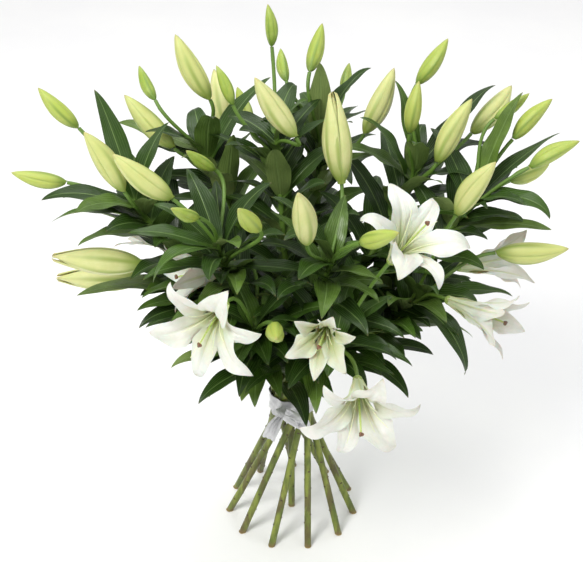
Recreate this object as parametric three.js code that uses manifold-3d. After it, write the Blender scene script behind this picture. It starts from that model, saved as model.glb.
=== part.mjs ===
// A spiral-tied bunch of white lilies that stands on its own cut ends.
//
// Twelve leafy stems cross at a ribbon binding. Below it they splay into a ring
// of feet, cut level, and above it they curve outwards to the places where the
// flower stalks leave. Each stem with its leaves and stalks grew as one piece,
// so it is one solid. Every bud and every bloom is a solid of its own, and so
// is each part of the ribbon.
//
// Millimetres, +Z up, the front of the bunch towards -Y. A bearing is an angle
// in degrees round +Z from +X, and a rise is an angle in degrees above level.
// The origin is on the floor, under the middle of the bunch's box.

import * as THREE from 'three';
import { mergeVertices } from 'three/addons/utils/BufferGeometryUtils.js';
import Module from 'manifold-3d';

const wasm = await Module();
wasm.setup();

// ---------------------------------------------------------------- dimensions

const GAP = 0.35; // air left between neighbouring solids
const BLADE_GAP = 0.9; // the same round a leaf, whose thin edges need more
const EDGE_GAP = 3; // times that, past a leaf's thin edges

const TIE_HEIGHT = 208; // of the binding above the cut ends
const STEM_LEAN = 24; // from upright, where a stem passes the binding
const STEM_RADIUS = 5;
const STEM_TIP_RADIUS = 3.4; // just under the top flower stalk
const STEM_PITCH_GAP = 2; // between neighbours round the binding
const STEM_STRAIGHT = 0.35; // share of a stem over which it keeps the lean of the binding
const STEM_ARCH = 0.3; // share of it that bends into the direction of its top
const STEM_UPTURN = 0.15; // how far its top turns back upright, from 0 to 1
const STEM_RISE = 1; // share of each stem's own height above the binding
const FIRST_SLOT = -73; // bearing of the first stem of the ring

const STALK_RADIUS = 2.1;
const STALK_STEP = 17; // between the stalks, down the top of a stem
const STALK_SWELL = 1.25; // of its radius, just under its head
const STALK_BEND = 0.35; // share of a stalk over which it turns at either end

const LEAF_LENGTH = 138; // of the lowest leaves
const LEAF_TOP_LENGTH = 104; // of the highest
const LEAF_WIDTH = 34;
const LEAF_THICKNESS = 1.5;
const LEAF_FOLD = 0.28; // slope of its two halves, where it is folded most
const LEAF_TAPER = 0.5; // share of the fold that is lost on the way to the tip
const LEAVES_PER_STEM = 7;
const LEAF_START_HEIGHT = 60; // of the first leaf above the binding

const TEPAL_THICKNESS = 1.5;
const TEPAL_SHARE = 0.48; // of its distance from the axis, the most a tepal's half width may be
const TEPAL_ROOT = { out: 5, along: 2, angle: 8 }; // from the axis, along it, and its angle there
const FIRST_TEPAL = 15; // degrees round the axis
const OUTER_TEPAL = 0.78; // width of an outer tepal, as a share of an inner one's
const TEPAL_FOLD = 0.5; // slope of its two halves at its root
const TEPAL_TIP_FOLD = 0.12; // and at its tip
const PISTIL_LENGTH = 92;
const PISTIL_SHARE = 0.85; // of its tepals' length, the most a pistil may have
const STIGMA_LENGTH = 5;
const PISTIL_RADIUS = 1.5;
const STIGMA_RADIUS = 3.2;
const RECEPTACLE_RADIUS = 7.2;
const RECEPTACLE_LENGTH = 8;

const BAND_HEIGHT = 30;
const BAND_SIDES = 20;
const BAND_THICKNESS = 1.4;
const BAND_CLEARANCE = 1; // between the band and the stems that it goes round
const KNOT_RADIUS = 8;
const KNOT_FLATNESS = 0.8; // its height as a share of its width
const LOOP_LENGTH = 34;
const LOOP_WIDTH = 24;
const TAIL_LENGTH = 46;
const TAIL_WIDTH = 20;
const RIBBON_THICKNESS = 1.4;
const GATHERED = 0.45; // width of the ribbon at the knot, as a share of its width

// Length, radius and colour of each kind of closed head.
const BUDS = {
  small: { node: 'bud', length: 58, radius: 8.5, colour: 0xa9c84f },
  middle: { node: 'bud', length: 76, radius: 11.5, colour: 0xb4cf62 },
  large: { node: 'bud', length: 100, radius: 15.5, colour: 0xd3dc9c },
  opening: { node: 'opening_bud', length: 124, radius: 17.5, colour: 0xe9edc0 },
};

// Tepal length and half width, the tepal's angle from the bloom's axis at its tip, and
// how late it bends out to that angle.
const BLOOMS = {
  cup: { node: 'cup_flower', tepal: 88, half: 19, tipAngle: 66, bend: 1.3, colour: 0xf3f2e2 },
  trumpet: { node: 'trumpet_flower', tepal: 112, half: 19, tipAngle: 52, bend: 1.8, colour: 0xf1efe0 },
  star: { node: 'open_flower', tepal: 116, half: 24, tipAngle: 116, bend: 1.35, colour: 0xf7f6f0 },
};

// ------------------------------------------------------------------ the plan
//
// Stems in their order round the binding, and then the middle one. whorl is the
// top of the stem: its bearing, its distance from the bunch's axis and its
// height above the binding. Each head has its kind, its stalk from the whorl
// (bearing, rise, length) and the way it faces (bearing, rise).

// The leaves at the top of a stem, which show most, are placed one by one: the
// share of the stem below the leaf, the way that it leaves (bearing, rise), how
// far it arches over, and its length. The rest follow a rule, below.

const head = (kind, stalk, facing) => ({ kind, stalk, facing });
const leaf = (up, course, droop, length) => ({ up, course, droop, length });

const STEMS = [
  {
    whorl: [-68, 158, 204],
    heads: [
      head('cup', [-102, 48, 100], [-98, 10]),
      head('star', [-75, 5, 95], [-88, -15]),
      head('star', [-2, 62, 142], [-38, 56]),
    ],
    leaves: [
      leaf(0.9, [-25, 22], 55, 125),
      leaf(0.45, [-78, 14], 34, 100),
    ],
  },
  {
    whorl: [-62, 112, 307],
    heads: [
      head('opening', [80, 38, 104], [110, 72]),
      head('large', [-115, 38, 100], [-110, 70]),
      head('middle', [-72, 38, 132], [-46, 34]),
    ],
    leaves: [
      leaf(0.97, [-135, 60], 70, 125),
    ],
  },
  {
    whorl: [-11, 190, 210],
    heads: [
      head('large', [12, 28, 108], [-10, 10]),
      head('trumpet', [-72, 24, 72], [-36, -2]),
      head('trumpet', [52, 2, 74], [14, 0]),
      head('large', [-38, 74, 142], [-18, 62]),
    ],
    leaves: [
      leaf(0.97, [-6, 14], 24, 125),
      leaf(0.9, [-60, 12], 100, 155),
    ],
  },
  {
    whorl: [5, 252, 324],
    heads: [
      head('small', [58, 66, 112], [12, 36]),
      head('middle', [25, 56, 96], [15, 46]),
      head('middle', [-8, 38, 88], [4, 30]),
      head('middle', [34, 8, 62], [36, 2]),
    ],
    leaves: [
      leaf(0.99, [32, 60], 14, 165),
      leaf(0.97, [-25, 32], 90, 130),
      leaf(0.95, [10, 44], 20, 165),
      leaf(0.85, [-18, 20], 30, 145),
      leaf(0.55, [-108, 14], 40, 110),
    ],
  },
  {
    whorl: [22, 190, 350],
    heads: [
      head('middle', [100, 74, 112], [22, 54]),
      head('middle', [-120, 62, 72], [40, 80]),
      head('large', [-62, 28, 50], [30, 58]),
      head('large', [10, 30, 84], [48, 24]),
    ],
    leaves: [
      leaf(0.98, [128, 74], 16, 130),
      leaf(0.97, [20, 50], 14, 165),
      leaf(0.93, [-178, 44], 44, 118),
    ],
  },
  {
    whorl: [72, 132, 374],
    heads: [
      head('small', [142, 44, 84], [100, 30]),
      head('middle', [176, 80, 92], [72, 40]),
      head('small', [60, 24, 74], [80, 24]),
      head('large', [-32, 12, 72], [40, 58]),
    ],
    leaves: [
      leaf(0.98, [20, 66], 40, 125),
      leaf(0.95, [-90, 84], 12, 140),
      leaf(0.9, [-66, 24], 60, 115),
    ],
  },
  {
    whorl: [145, 152, 372],
    heads: [
      head('large', [-50, 74, 82], [155, 60]),
      head('small', [178, 48, 92], [120, 34]),
      head('large', [-160, 4, 40], [156, 42]),
      head('large', [64, -14, 80], [108, 46]),
    ],
    leaves: [
      leaf(0.97, [165, 14], 10, 135),
      leaf(0.93, [30, 58], 40, 150),
      leaf(0.75, [-70, 78], 14, 140),
    ],
  },
  {
    whorl: [171, 146, 186],
    heads: [
      head('opening', [-132, 40, 112], [-174, 9]),
      head('opening', [166, -3, 70], [-178, 2]),
      head('trumpet', [92, 34, 44], [155, 20]),
    ],
    leaves: [
      leaf(0.95, [-168, 14], 40, 170),
    ],
  },
  {
    whorl: [-178, 214, 338],
    heads: [
      head('middle', [146, 44, 122], [168, 46]),
      head('middle', [164, 8, 96], [-176, 14]),
      head('large', [-98, 42, 58], [180, 62]),
    ],
    leaves: [
      leaf(0.98, [131, 66], 14, 165),
      leaf(0.95, [-172, 29], 62, 140),
      leaf(0.88, [-155, 33], 66, 150),
      leaf(0.8, [-165, 36], 20, 130),
    ],
  },
  {
    whorl: [-131, 148, 337],
    heads: [
      head('large', [-170, 52, 88], [-173, 44]),
      head('small', [92, 42, 98], [-150, 44]),
      head('small', [-108, 50, 90], [-132, 36]),
      head('middle', [-52, 34, 112], [-118, 48]),
    ],
    leaves: [
      leaf(0.95, [-140, 29], 105, 125),
      leaf(0.85, [-12, 7], 44, 165),
    ],
  },
  {
    whorl: [-110, 146, 222],
    heads: [
      head('star', [-118, 48, 104], [-113, -3]),
      head('middle', [-72, 34, 104], [-86, 22]),
      head('trumpet', [104, 38, 88], [-166, -4]),
    ],
    leaves: [
      leaf(0.95, [-102, 18], 60, 110),
      leaf(0.7, [-125, 31], 45, 130),
      leaf(0.45, [-108, 14], 34, 105),
    ],
  },
  {
    centre: true,
    whorl: [110, 60, 412],
    heads: [
      head('small', [98, 68, 112], [112, 76]),
      head('large', [-72, 20, 90], [176, 58]),
      head('middle', [112, -26, 112], [108, 30]),
      head('small', [-176, 34, 70], [140, 60]),
    ],
    leaves: [
      leaf(0.75, [-100, 66], 16, 125),
    ],
  },
];

// ------------------------------------------------------------- small helpers

const radians = THREE.MathUtils.degToRad;
const lerp = THREE.MathUtils.lerp;
const UP = new THREE.Vector3(0, 0, 1);

// The unit vector that points along a bearing and a rise.
function heading(bearing, rise) {
  const level = Math.cos(radians(rise));
  return new THREE.Vector3(
    level * Math.cos(radians(bearing)),
    level * Math.sin(radians(bearing)),
    Math.sin(radians(rise)),
  );
}

// 0 at both ends of a blade and 1 across its widest place.
const bladeWidth = (t) => Math.sin(Math.PI * Math.min(1, Math.max(0, t)) ** 0.85) ** 0.8;

// A closed solid bent along a path. at(t) gives the centre, the direction along
// it and the two half sizes of its section there; fold is the slope at which the
// section's two sides fall away from its middle. A pointed one ends in one point.
function bent({ sides, steps, pointed = false, at }) {
  const geometry = new THREE.CylinderGeometry(pointed ? 0 : 1, 1, 1, sides, steps);
  const points = geometry.attributes.position;
  const p = new THREE.Vector3();
  for (let i = 0; i < points.count; i++) {
    p.fromBufferAttribute(points, i);
    const t = p.y + 0.5;
    const side = pointed && t < 1 ? 1 / (1 - t) : 1; // undoes the cone's own taper
    const { centre, along, across, halfWidth, halfDepth, fold = 0 } = at(t);
    const depth = across.clone().cross(along).normalize();
    const x = p.x * side * halfWidth;
    const z = p.z * side * halfDepth;
    p.copy(centre)
      .addScaledVector(across, x)
      .addScaledVector(depth, z - Math.abs(x) * fold);
    points.setXYZ(i, p.x, p.y, p.z);
  }
  return solidOf(geometry);
}

// A three.js geometry as a manifold-3d solid.
function solidOf(geometry) {
  const bare = geometry.clone();
  bare.deleteAttribute('normal');
  bare.deleteAttribute('uv');
  const merged = mergeVertices(bare, 1e-3);
  return new wasm.Manifold(
    new wasm.Mesh({
      numProp: 3,
      vertProperties: merged.attributes.position.array,
      triVerts: new Uint32Array(merged.index.array),
    }),
  );
}

// A level direction square to the one given.
function squareTo(along) {
  const across = UP.clone().cross(along);
  return across.lengthSq() > 1e-6 ? across.normalize() : new THREE.Vector3(1, 0, 0);
}

const joined = (solids) => wasm.Manifold.union(solids);
const largest = (solid) =>
  solid.decompose().reduce((a, b) => (a.volume() >= b.volume() ? a : b));

// ------------------------------------------------------------------ the stems

const ring = STEMS.filter((stem) => !stem.centre);
const slotStep = 360 / ring.length;
const waistRadius =
  (2 * STEM_RADIUS + STEM_PITCH_GAP) /
  (2 * Math.sin(radians(slotStep / 2)) * Math.cos(radians(STEM_LEAN)));

// The straight line of a stem through the binding, and the curve from there to
// its whorl. A ring stem leans along the ring, so that all of them spiral.
STEMS.forEach((stem, i) => {
  const slot = FIRST_SLOT + i * slotStep;
  const lean = stem.centre ? 0 : STEM_LEAN;
  stem.line = heading(slot, 90 - lean);
  stem.waist = heading(slot - 90, 0).multiplyScalar(stem.centre ? 0 : waistRadius);
  stem.waist.z = TIE_HEIGHT;
  const [bearing, out, height] = stem.whorl;
  stem.top = heading(bearing, 0).multiplyScalar(out);
  stem.top.z = TIE_HEIGHT + height * STEM_RISE;
  const reach = stem.top.distanceTo(stem.waist);
  const end = stem.top.clone().sub(stem.waist).normalize().lerp(UP, STEM_UPTURN).normalize();
  stem.curve = new THREE.CubicBezierCurve3(
    stem.waist,
    stem.waist.clone().addScaledVector(stem.line, STEM_STRAIGHT * reach),
    stem.top.clone().addScaledVector(end, -STEM_ARCH * reach),
    stem.top,
  );
  stem.reach = reach;
});

// The whole stem, from just under the floor to its top. Its sections are closest
// together just above the binding, where it bends most and has neighbours.
const STEM_STEPS = 7;
const STEM_CROWDING = 1.5;
const FOOT_OVERRUN = 1.3; // of the height of the binding: the stem runs through the floor, to be cut level
function stemSolid(stem, grow) {
  const foot = stem.waist.clone().addScaledVector(stem.line, -(TIE_HEIGHT * FOOT_OVERRUN) / stem.line.z);
  return bent({
    sides: 6,
    steps: STEM_STEPS,
    at: (t) => {
      const share = (t * STEM_STEPS - 1) / (STEM_STEPS - 1);
      const below = share < 0;
      const u = Math.max(0, share) ** STEM_CROWDING;
      const radius = lerp(STEM_RADIUS, STEM_TIP_RADIUS, u) + grow;
      const along = below ? stem.line : stem.curve.getTangent(u);
      return {
        centre: below ? foot : stem.curve.getPoint(u),
        along,
        across: squareTo(along),
        halfWidth: radius,
        halfDepth: radius,
      };
    },
  });
}

// The stalk of the head in place k, counted from the top of the stem.
function stalkCurve(stem, base, facing, k) {
  const u = 1 - ((k + 0.5) * STALK_STEP) / stem.reach;
  const start = stem.curve.getPoint(u);
  const reach = base.distanceTo(start);
  const out = base.clone().sub(start).normalize().lerp(stem.curve.getTangent(u), 0.5);
  return new THREE.CubicBezierCurve3(
    start,
    start.clone().addScaledVector(out.normalize(), STALK_BEND * reach),
    base.clone().addScaledVector(facing, -STALK_BEND * reach),
    base,
  );
}

function stalkSolid(curve, grow) {
  return bent({
    sides: 4,
    steps: 3,
    at: (t) => {
      const along = curve.getTangent(t);
      const radius = STALK_RADIUS * lerp(1, STALK_SWELL, t) + grow;
      return {
        centre: curve.getPoint(t).addScaledVector(along, t === 1 ? grow * 0.9 - GAP : 0),
        along,
        across: squareTo(along),
        halfWidth: radius,
        halfDepth: radius,
      };
    },
  });
}

// ----------------------------------------------------------------- the leaves

// Leaf k of a stem, counted from the binding: where it leaves, which way, and how
// far it arches over. The last ones are those in the stem's own list. The others
// turn by the golden angle from one to the next, away from the bearing that leads
// out of the bunch: a leaf on the outside leaves nearly level, and one that turns
// back inwards is held upright.
const GOLDEN_ANGLE = 137.5;
const STEM_PHASE = 47; // the turn of one stem's first leaf from that of the stem before
const LEAF_SPREAD = 0.78; // share of a full turn that the leaves take up
const LEAF_LAST = 0.97; // share of the stem at which the last leaf leaves
const LEAF_RISE = 18; // of a leaf on the outside of the bunch
const LEAF_RISE_INSIDE = 70; // of one that turns back inwards
const LEAF_RISE_TOP = 8; // more than that at the top of a stem
const LEAF_DROOP = 58; // how far the lowest leaves arch over
const LEAF_DROOP_TOP = 44; // and the highest
const LEAF_ARCH = 1.4; // over 1: most of the arch is near the tip
const LEAF_SWAY = 16; // the most that a leaf turns sideways
function leafPlan(stem, k, stemNumber) {
  const placed = stem.leaves[LEAVES_PER_STEM - 1 - k];
  const fullTurn = GOLDEN_ANGLE * k + STEM_PHASE * stemNumber;
  const sway = LEAF_SWAY * Math.sin(radians(3 * fullTurn));
  if (placed) {
    const { up, course: [bearing, rise], droop, length } = placed;
    return { root: stem.curve.getPoint(up), bearing, rise, droop, length, sway: sway / 2 };
  }
  const share = k / (LEAVES_PER_STEM - 1);
  const root = stem.curve.getPoint(lerp(LEAF_START_HEIGHT / stem.reach, LEAF_LAST, share));
  const outwards = THREE.MathUtils.radToDeg(Math.atan2(root.y, root.x));
  const turn = LEAF_SPREAD * (THREE.MathUtils.euclideanModulo(fullTurn + 180, 360) - 180);
  return {
    root,
    bearing: outwards + turn,
    rise: lerp(LEAF_RISE, LEAF_RISE_INSIDE, (1 - Math.cos(radians(turn))) / 2) + LEAF_RISE_TOP * share,
    droop: lerp(LEAF_DROOP, LEAF_DROOP_TOP, share),
    length: lerp(LEAF_LENGTH, LEAF_TOP_LENGTH, share),
    sway,
  };
}

function leafSolid(plan, grow) {
  const steps = 4;
  // The midrib's points: each stretch turns a little further down and sideways.
  const midrib = [plan.root.clone()];
  const courses = [];
  for (let i = 0; i <= steps; i++) {
    const t = i / steps;
    const course = heading(plan.bearing + plan.sway * t, plan.rise - plan.droop * t ** LEAF_ARCH);
    courses.push(course);
    midrib.push(midrib[i].clone().addScaledVector(course, plan.length / steps));
  }
  return bent({
    sides: 4,
    steps,
    pointed: true,
    at: (t) => {
      const i = Math.round(t * steps);
      const width = (LEAF_WIDTH / 2) * Math.max(bladeWidth(0.06 + 0.94 * t), 0.22 * (1 - t));
      const taper = t < 1 ? 1 : 0;
      return {
        centre: midrib[i].clone().addScaledVector(courses[i], t === 1 ? grow : 0),
        along: courses[i],
        across: squareTo(courses[i]),
        halfWidth: (width + grow * EDGE_GAP) * taper,
        halfDepth: (LEAF_THICKNESS / 2 + grow) * taper,
        fold: LEAF_FOLD * (1 - LEAF_TAPER * t),
      };
    },
  });
}

// ------------------------------------------------------------------ the heads

// A bud swells from its stalk to a third of its length, and closes in a point.
function budSolid(kind, base, facing, grow) {
  const { length, radius } = BUDS[kind];
  const across = squareTo(facing);
  return bent({
    sides: 6,
    steps: 5,
    pointed: true,
    at: (t) => {
      const r = radius * Math.max(Math.sin(Math.PI * t ** 0.8) ** 0.75, 0.3 * (1 - t)) + grow;
      const end = t === 1 ? grow : t === 0 ? -grow : 0;
      return {
        centre: base.clone().addScaledVector(facing, length * t + end),
        along: facing,
        across,
        halfWidth: t < 1 ? r : 0,
        halfDepth: t < 1 ? r : 0,
      };
    },
  });
}

// The line of a tepal in a bloom: how far from the axis and how far along it,
// and its angle from the axis, at each of its steps.
function tepalLine({ tepal, tipAngle, bend }, steps) {
  const line = [TEPAL_ROOT];
  for (let i = 1; i <= steps; i++) {
    const angle = lerp(TEPAL_ROOT.angle, tipAngle, (i / steps) ** bend);
    const middle = radians((angle + line[i - 1].angle) / 2);
    line.push({
      out: line[i - 1].out + (Math.sin(middle) * tepal) / steps,
      along: line[i - 1].along + (Math.cos(middle) * tepal) / steps,
      angle,
    });
  }
  return line;
}

// Six tepals round the axis, three outer and three broader inner ones, the
// receptacle that they leave, and the pistil.
function bloomSolid(kind, base, facing, grow) {
  const bloom = BLOOMS[kind];
  const steps = 4;
  const line = tepalLine(bloom, steps);
  const side = squareTo(facing);
  const front = facing.clone().cross(side);
  const parts = [];
  for (let n = 0; n < 6; n++) {
    const angle = radians(60 * n + FIRST_TEPAL);
    const out = side.clone().multiplyScalar(Math.cos(angle));
    out.addScaledVector(front, Math.sin(angle));
    const across = facing.clone().cross(out);
    const half = bloom.half * (n % 2 ? 1 : OUTER_TEPAL);
    parts.push(
      bent({
        sides: 4,
        steps,
        pointed: true,
        at: (t) => {
          const { out: r, along: z, angle: lean } = line[Math.round(t * steps)];
          const along = out.clone().multiplyScalar(Math.sin(radians(lean)));
          along.addScaledVector(facing, Math.cos(radians(lean)));
          const blade = half * Math.max(bladeWidth(0.05 + 0.95 * t), 0.24 * (1 - t));
          const width = Math.min(blade, TEPAL_SHARE * r); // clear of the tepals beside it
          const open = t < 1 ? 1 : 0;
          return {
            centre: base
              .clone()
              .addScaledVector(out, r)
              .addScaledVector(facing, z)
              .addScaledVector(along, t === 1 ? grow : 0),
            along,
            across,
            halfWidth: (width + grow) * open,
            halfDepth: (TEPAL_THICKNESS / 2 + grow) * open,
            fold: lerp(TEPAL_FOLD, TEPAL_TIP_FOLD, t),
          };
        },
      }),
    );
  }
  const straight = (sides, from, to, radiusAt) =>
    bent({
      sides,
      steps: 1,
      at: (t) => ({
        centre: base.clone().addScaledVector(facing, lerp(from - grow, to + grow, t)),
        along: facing,
        across: side,
        halfWidth: radiusAt(t) + grow,
        halfDepth: radiusAt(t) + grow,
      }),
    });
  const pistil = Math.min(PISTIL_LENGTH, bloom.tepal * PISTIL_SHARE);
  parts.push(straight(6, 0, RECEPTACLE_LENGTH, () => RECEPTACLE_RADIUS));
  parts.push(straight(4, RECEPTACLE_LENGTH / 2, pistil - STIGMA_LENGTH / 2, () => PISTIL_RADIUS));
  parts.push(straight(4, pistil - STIGMA_LENGTH, pistil, () => STIGMA_RADIUS));
  return joined(parts);
}

// ----------------------------------------------------------------- the ribbon

// The inside of the band at a height from the binding: the ring that the stems
// just fit in.
function bandRadius(height) {
  const swing = Math.hypot(waistRadius, height * Math.tan(radians(STEM_LEAN)));
  return swing + STEM_RADIUS / Math.cos(radians(STEM_LEAN)) + BAND_CLEARANCE;
}

function bandSolid() {
  const half = BAND_HEIGHT / 2;
  const levels = [-1, 0, 1].map((share) => share * half);
  const outer = levels.map((z) => new THREE.Vector2(bandRadius(z) + BAND_THICKNESS, z));
  const inner = levels.map((z) => new THREE.Vector2(bandRadius(z), z)).reverse();
  const profile = [...outer, ...inner, outer[0]];
  const lathe = new THREE.LatheGeometry(profile, BAND_SIDES);
  lathe.rotateX(Math.PI / 2);
  lathe.translate(0, 0, TIE_HEIGHT);
  return solidOf(lathe);
}

// The bow sits on the band at this bearing.
const BOW_BEARING = -112;
const bowOut = heading(BOW_BEARING, 0);
const bowSide = squareTo(bowOut);
const bowFace = bandRadius(0) + BAND_THICKNESS + GAP;
const knotAt = bowOut.clone().multiplyScalar(bowFace + KNOT_RADIUS);
knotAt.z = TIE_HEIGHT;

function knotSolid() {
  const knot = new THREE.SphereGeometry(KNOT_RADIUS, 8, 6);
  knot.scale(1, 1, KNOT_FLATNESS);
  knot.translate(knotAt.x, knotAt.y, knotAt.z);
  return solidOf(knot);
}

// A strip of ribbon that starts near the knot and follows the course given.
function stripSolid(start, length, width, courseAt) {
  const steps = 6;
  const line = [start.clone()];
  for (let i = 0; i < steps; i++) {
    line.push(line[i].clone().addScaledVector(courseAt(i / steps), length / steps));
  }
  return bent({
    sides: 4,
    steps,
    at: (t) => {
      const along = courseAt(t);
      return {
        centre: line[Math.round(t * steps)],
        along,
        across: along.clone().cross(bowOut).normalize(),
        halfWidth: (width / 2) * lerp(GATHERED, 1, Math.min(1, 2 * t)),
        halfDepth: RIBBON_THICKNESS / 2,
      };
    },
  });
}

// The loop stands out to one side of the knot and turns down, and the tail
// hangs from under it on the other side.
const besideKnot = KNOT_RADIUS + GAP + RIBBON_THICKNESS;
const loopCourse = (t) =>
  bowSide
    .clone()
    .addScaledVector(UP, 0.35 - 0.9 * t)
    .addScaledVector(bowOut, 0.25)
    .normalize();
const tailCourse = (t) =>
  bowSide
    .clone()
    .multiplyScalar(0.3 * t - 0.55)
    .addScaledVector(UP, -1)
    .addScaledVector(bowOut, 0.5 - 0.3 * t)
    .normalize();
const loopSolid = () =>
  stripSolid(knotAt.clone().addScaledVector(bowSide, besideKnot), LOOP_LENGTH, LOOP_WIDTH, loopCourse);
const tailSolid = () =>
  stripSolid(knotAt.clone().addScaledVector(UP, -besideKnot), TAIL_LENGTH, TAIL_WIDTH, tailCourse);

// ------------------------------------------------------------ putting together

const LEAF_GREEN = 0x2f5a24;
const RIBBON_SILVER = 0xb9b8bf;
const material = (color, roughness) =>
  new THREE.MeshStandardMaterial({ color, roughness, metalness: 0 });

// Puts a solid in the scene as a named mesh, placed at its own origin.
function addMesh(group, name, solid, origin, finish) {
  const { numProp, vertProperties, triVerts } = solid.getMesh();
  const points = new Float32Array((vertProperties.length / numProp) * 3);
  for (let i = 0; i < points.length / 3; i++) {
    points.set(vertProperties.subarray(i * numProp, i * numProp + 3), i * 3);
  }
  const geometry = new THREE.BufferGeometry();
  geometry.setAttribute('position', new THREE.BufferAttribute(points, 3));
  geometry.setIndex(new THREE.BufferAttribute(new Uint32Array(triVerts), 1));
  geometry.translate(-origin.x, -origin.y, -origin.z);
  geometry.computeVertexNormals();
  const mesh = new THREE.Mesh(geometry, finish);
  mesh.name = name;
  mesh.position.copy(origin);
  group.add(mesh);
}

const two = (n) => String(n).padStart(2, '0');

// Everything that a later piece has to stay clear of, a gap larger than life.
const guards = [];
const clearOfAll = (solid, own) =>
  guards.reduce((left, guard) => (guard.own === own ? left : left.subtract(guard.solid)), solid);

const stems = new THREE.Group();
const heads = new THREE.Group();
const ribbon = new THREE.Group();

// The ground, far wider and deeper than the stems that run into it.
const GROUND = { width: 4000, depth: 600 };
const ground = new THREE.BoxGeometry(GROUND.width, GROUND.width, GROUND.depth);
const floor = solidOf(ground.translate(0, 0, -GROUND.depth / 2));

// Stems and stalks are first, then the ribbon and the heads, and the leaves last.
STEMS.forEach((stem, i) => {
  stem.body = clearOfAll(stemSolid(stem, 0).subtract(floor), i);
  guards.push({ own: i, solid: stemSolid(stem, GAP) });
});
STEMS.forEach((stem, i) => {
  stem.heads.forEach((h, k) => {
    const [bearing, rise, length] = h.stalk;
    h.base = stem.top.clone().addScaledVector(heading(bearing, rise), length);
    h.way = heading(...h.facing);
    h.curve = stalkCurve(stem, h.base, h.way, k);
    h.stalkBody = clearOfAll(stalkSolid(h.curve, 0), i);
    guards.push({ own: i, solid: stalkSolid(h.curve, GAP) });
  });
});

const ribbonSolids = {
  band: clearOfAll(bandSolid()),
  knot: knotSolid(),
  loop: loopSolid(),
  tail: tailSolid(),
};
for (const solid of Object.values(ribbonSolids)) guards.push({ own: 'ribbon', solid });

const counts = {};
STEMS.forEach((stem) => {
  stem.heads.forEach((h) => {
    const make = BUDS[h.kind] ? budSolid : bloomSolid;
    const { node, colour } = BUDS[h.kind] ?? BLOOMS[h.kind];
    const solid = largest(clearOfAll(make(h.kind, h.base, h.way, 0), h));
    counts[node] = (counts[node] ?? 0) + 1;
    addMesh(heads, `${node}_${two(counts[node])}`, solid, h.base, material(colour, 0.5));
    guards.push({ own: h, solid: make(h.kind, h.base, h.way, GAP) });
  });
});

STEMS.forEach((stem, i) => {
  const leaves = [];
  for (let k = 0; k < LEAVES_PER_STEM; k++) {
    const plan = leafPlan(stem, k, i);
    leaves.push(clearOfAll(leafSolid(plan, 0), i));
    guards.push({ own: i, solid: leafSolid(plan, BLADE_GAP) });
  }
  const whole = joined([stem.body, ...stem.heads.map((h) => h.stalkBody), ...leaves]);
  // what is left of a stem where it would cross one already made
  const apart = largest(STEMS.slice(0, i).reduce((left, other) => left.subtract(other.whole), whole));
  addMesh(stems, `stem_${two(i + 1)}`, apart, stem.waist, material(LEAF_GREEN, 0.45));
  stem.whole = apart;
});

const silver = material(RIBBON_SILVER, 0.35);
const waistMiddle = new THREE.Vector3(0, 0, TIE_HEIGHT);
for (const [piece, solid] of Object.entries(ribbonSolids)) {
  addMesh(ribbon, `ribbon_${piece}`, solid, piece === 'band' ? waistMiddle : knotAt, silver);
}

// The bunch is moved so that its origin is under the middle of its box.
const bunch = new THREE.Group();
bunch.add(stems, heads, ribbon);
const box = new THREE.Box3().setFromObject(bunch, true);
const middle = box.getCenter(new THREE.Vector3());
bunch.position.set(-middle.x, -middle.y, -box.min.z);

const lilies = new THREE.Group();
lilies.add(bunch);

export default lilies;
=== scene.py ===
# A spiral-tied bunch of white lilies, standing unheld on its own cut ends.
#
# Twelve leafy stems cross at a ribbon binding. Under it they splay into a ring of
# feet, and over it they carry the leaves, the buds and the open flowers. A bearing
# is an angle in degrees round +Z from +X, and a rise is an angle above level.

import random
from math import atan2, cos, degrees, exp, hypot, pi, radians, sin, tan, tau

import bmesh
import bpy
from mathutils import Matrix, Vector
from mathutils.bvhtree import BVHTree


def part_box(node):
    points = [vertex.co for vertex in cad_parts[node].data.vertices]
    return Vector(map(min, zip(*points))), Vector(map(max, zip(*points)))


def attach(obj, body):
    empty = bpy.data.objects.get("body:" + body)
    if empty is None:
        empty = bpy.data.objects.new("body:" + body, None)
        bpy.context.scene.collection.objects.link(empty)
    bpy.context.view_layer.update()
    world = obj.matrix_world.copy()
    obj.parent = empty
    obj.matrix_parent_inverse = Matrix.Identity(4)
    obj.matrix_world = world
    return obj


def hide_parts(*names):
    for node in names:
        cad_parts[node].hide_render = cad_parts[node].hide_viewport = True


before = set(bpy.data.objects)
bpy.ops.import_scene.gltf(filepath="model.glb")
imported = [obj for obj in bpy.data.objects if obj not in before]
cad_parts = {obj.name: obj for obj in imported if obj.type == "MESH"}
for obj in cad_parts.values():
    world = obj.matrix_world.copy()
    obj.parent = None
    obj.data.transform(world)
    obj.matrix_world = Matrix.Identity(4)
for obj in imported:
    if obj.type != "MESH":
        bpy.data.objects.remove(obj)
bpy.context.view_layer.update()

MM = 0.001
UP = Vector((0, 0, 1))

# ------------------------------------------------------------ the lie of the stems
# A florist lays the stems one by one across the hand, each a little further round,
# so that they cross at the binding and lean the same way about it. A stem is known
# by its whorl (bearing, distance out and height over the binding), a head by its
# stalk (bearing, rise, length) and the way it faces, and a leaf that shows by how
# far up its stem it leaves, its bearing and rise, its droop and its length, all in
# millimetres and degrees.


def stem(whorl, heads, leaves, centre=False):
    return {"whorl": whorl, "heads": heads, "leaves": leaves, "centre": centre}


def head(kind, stalk, facing):
    return {"kind": kind, "stalk": stalk, "facing": facing}


def leaf(up, course, droop, length):
    return {"up": up, "course": course, "droop": droop, "length": length}


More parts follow.
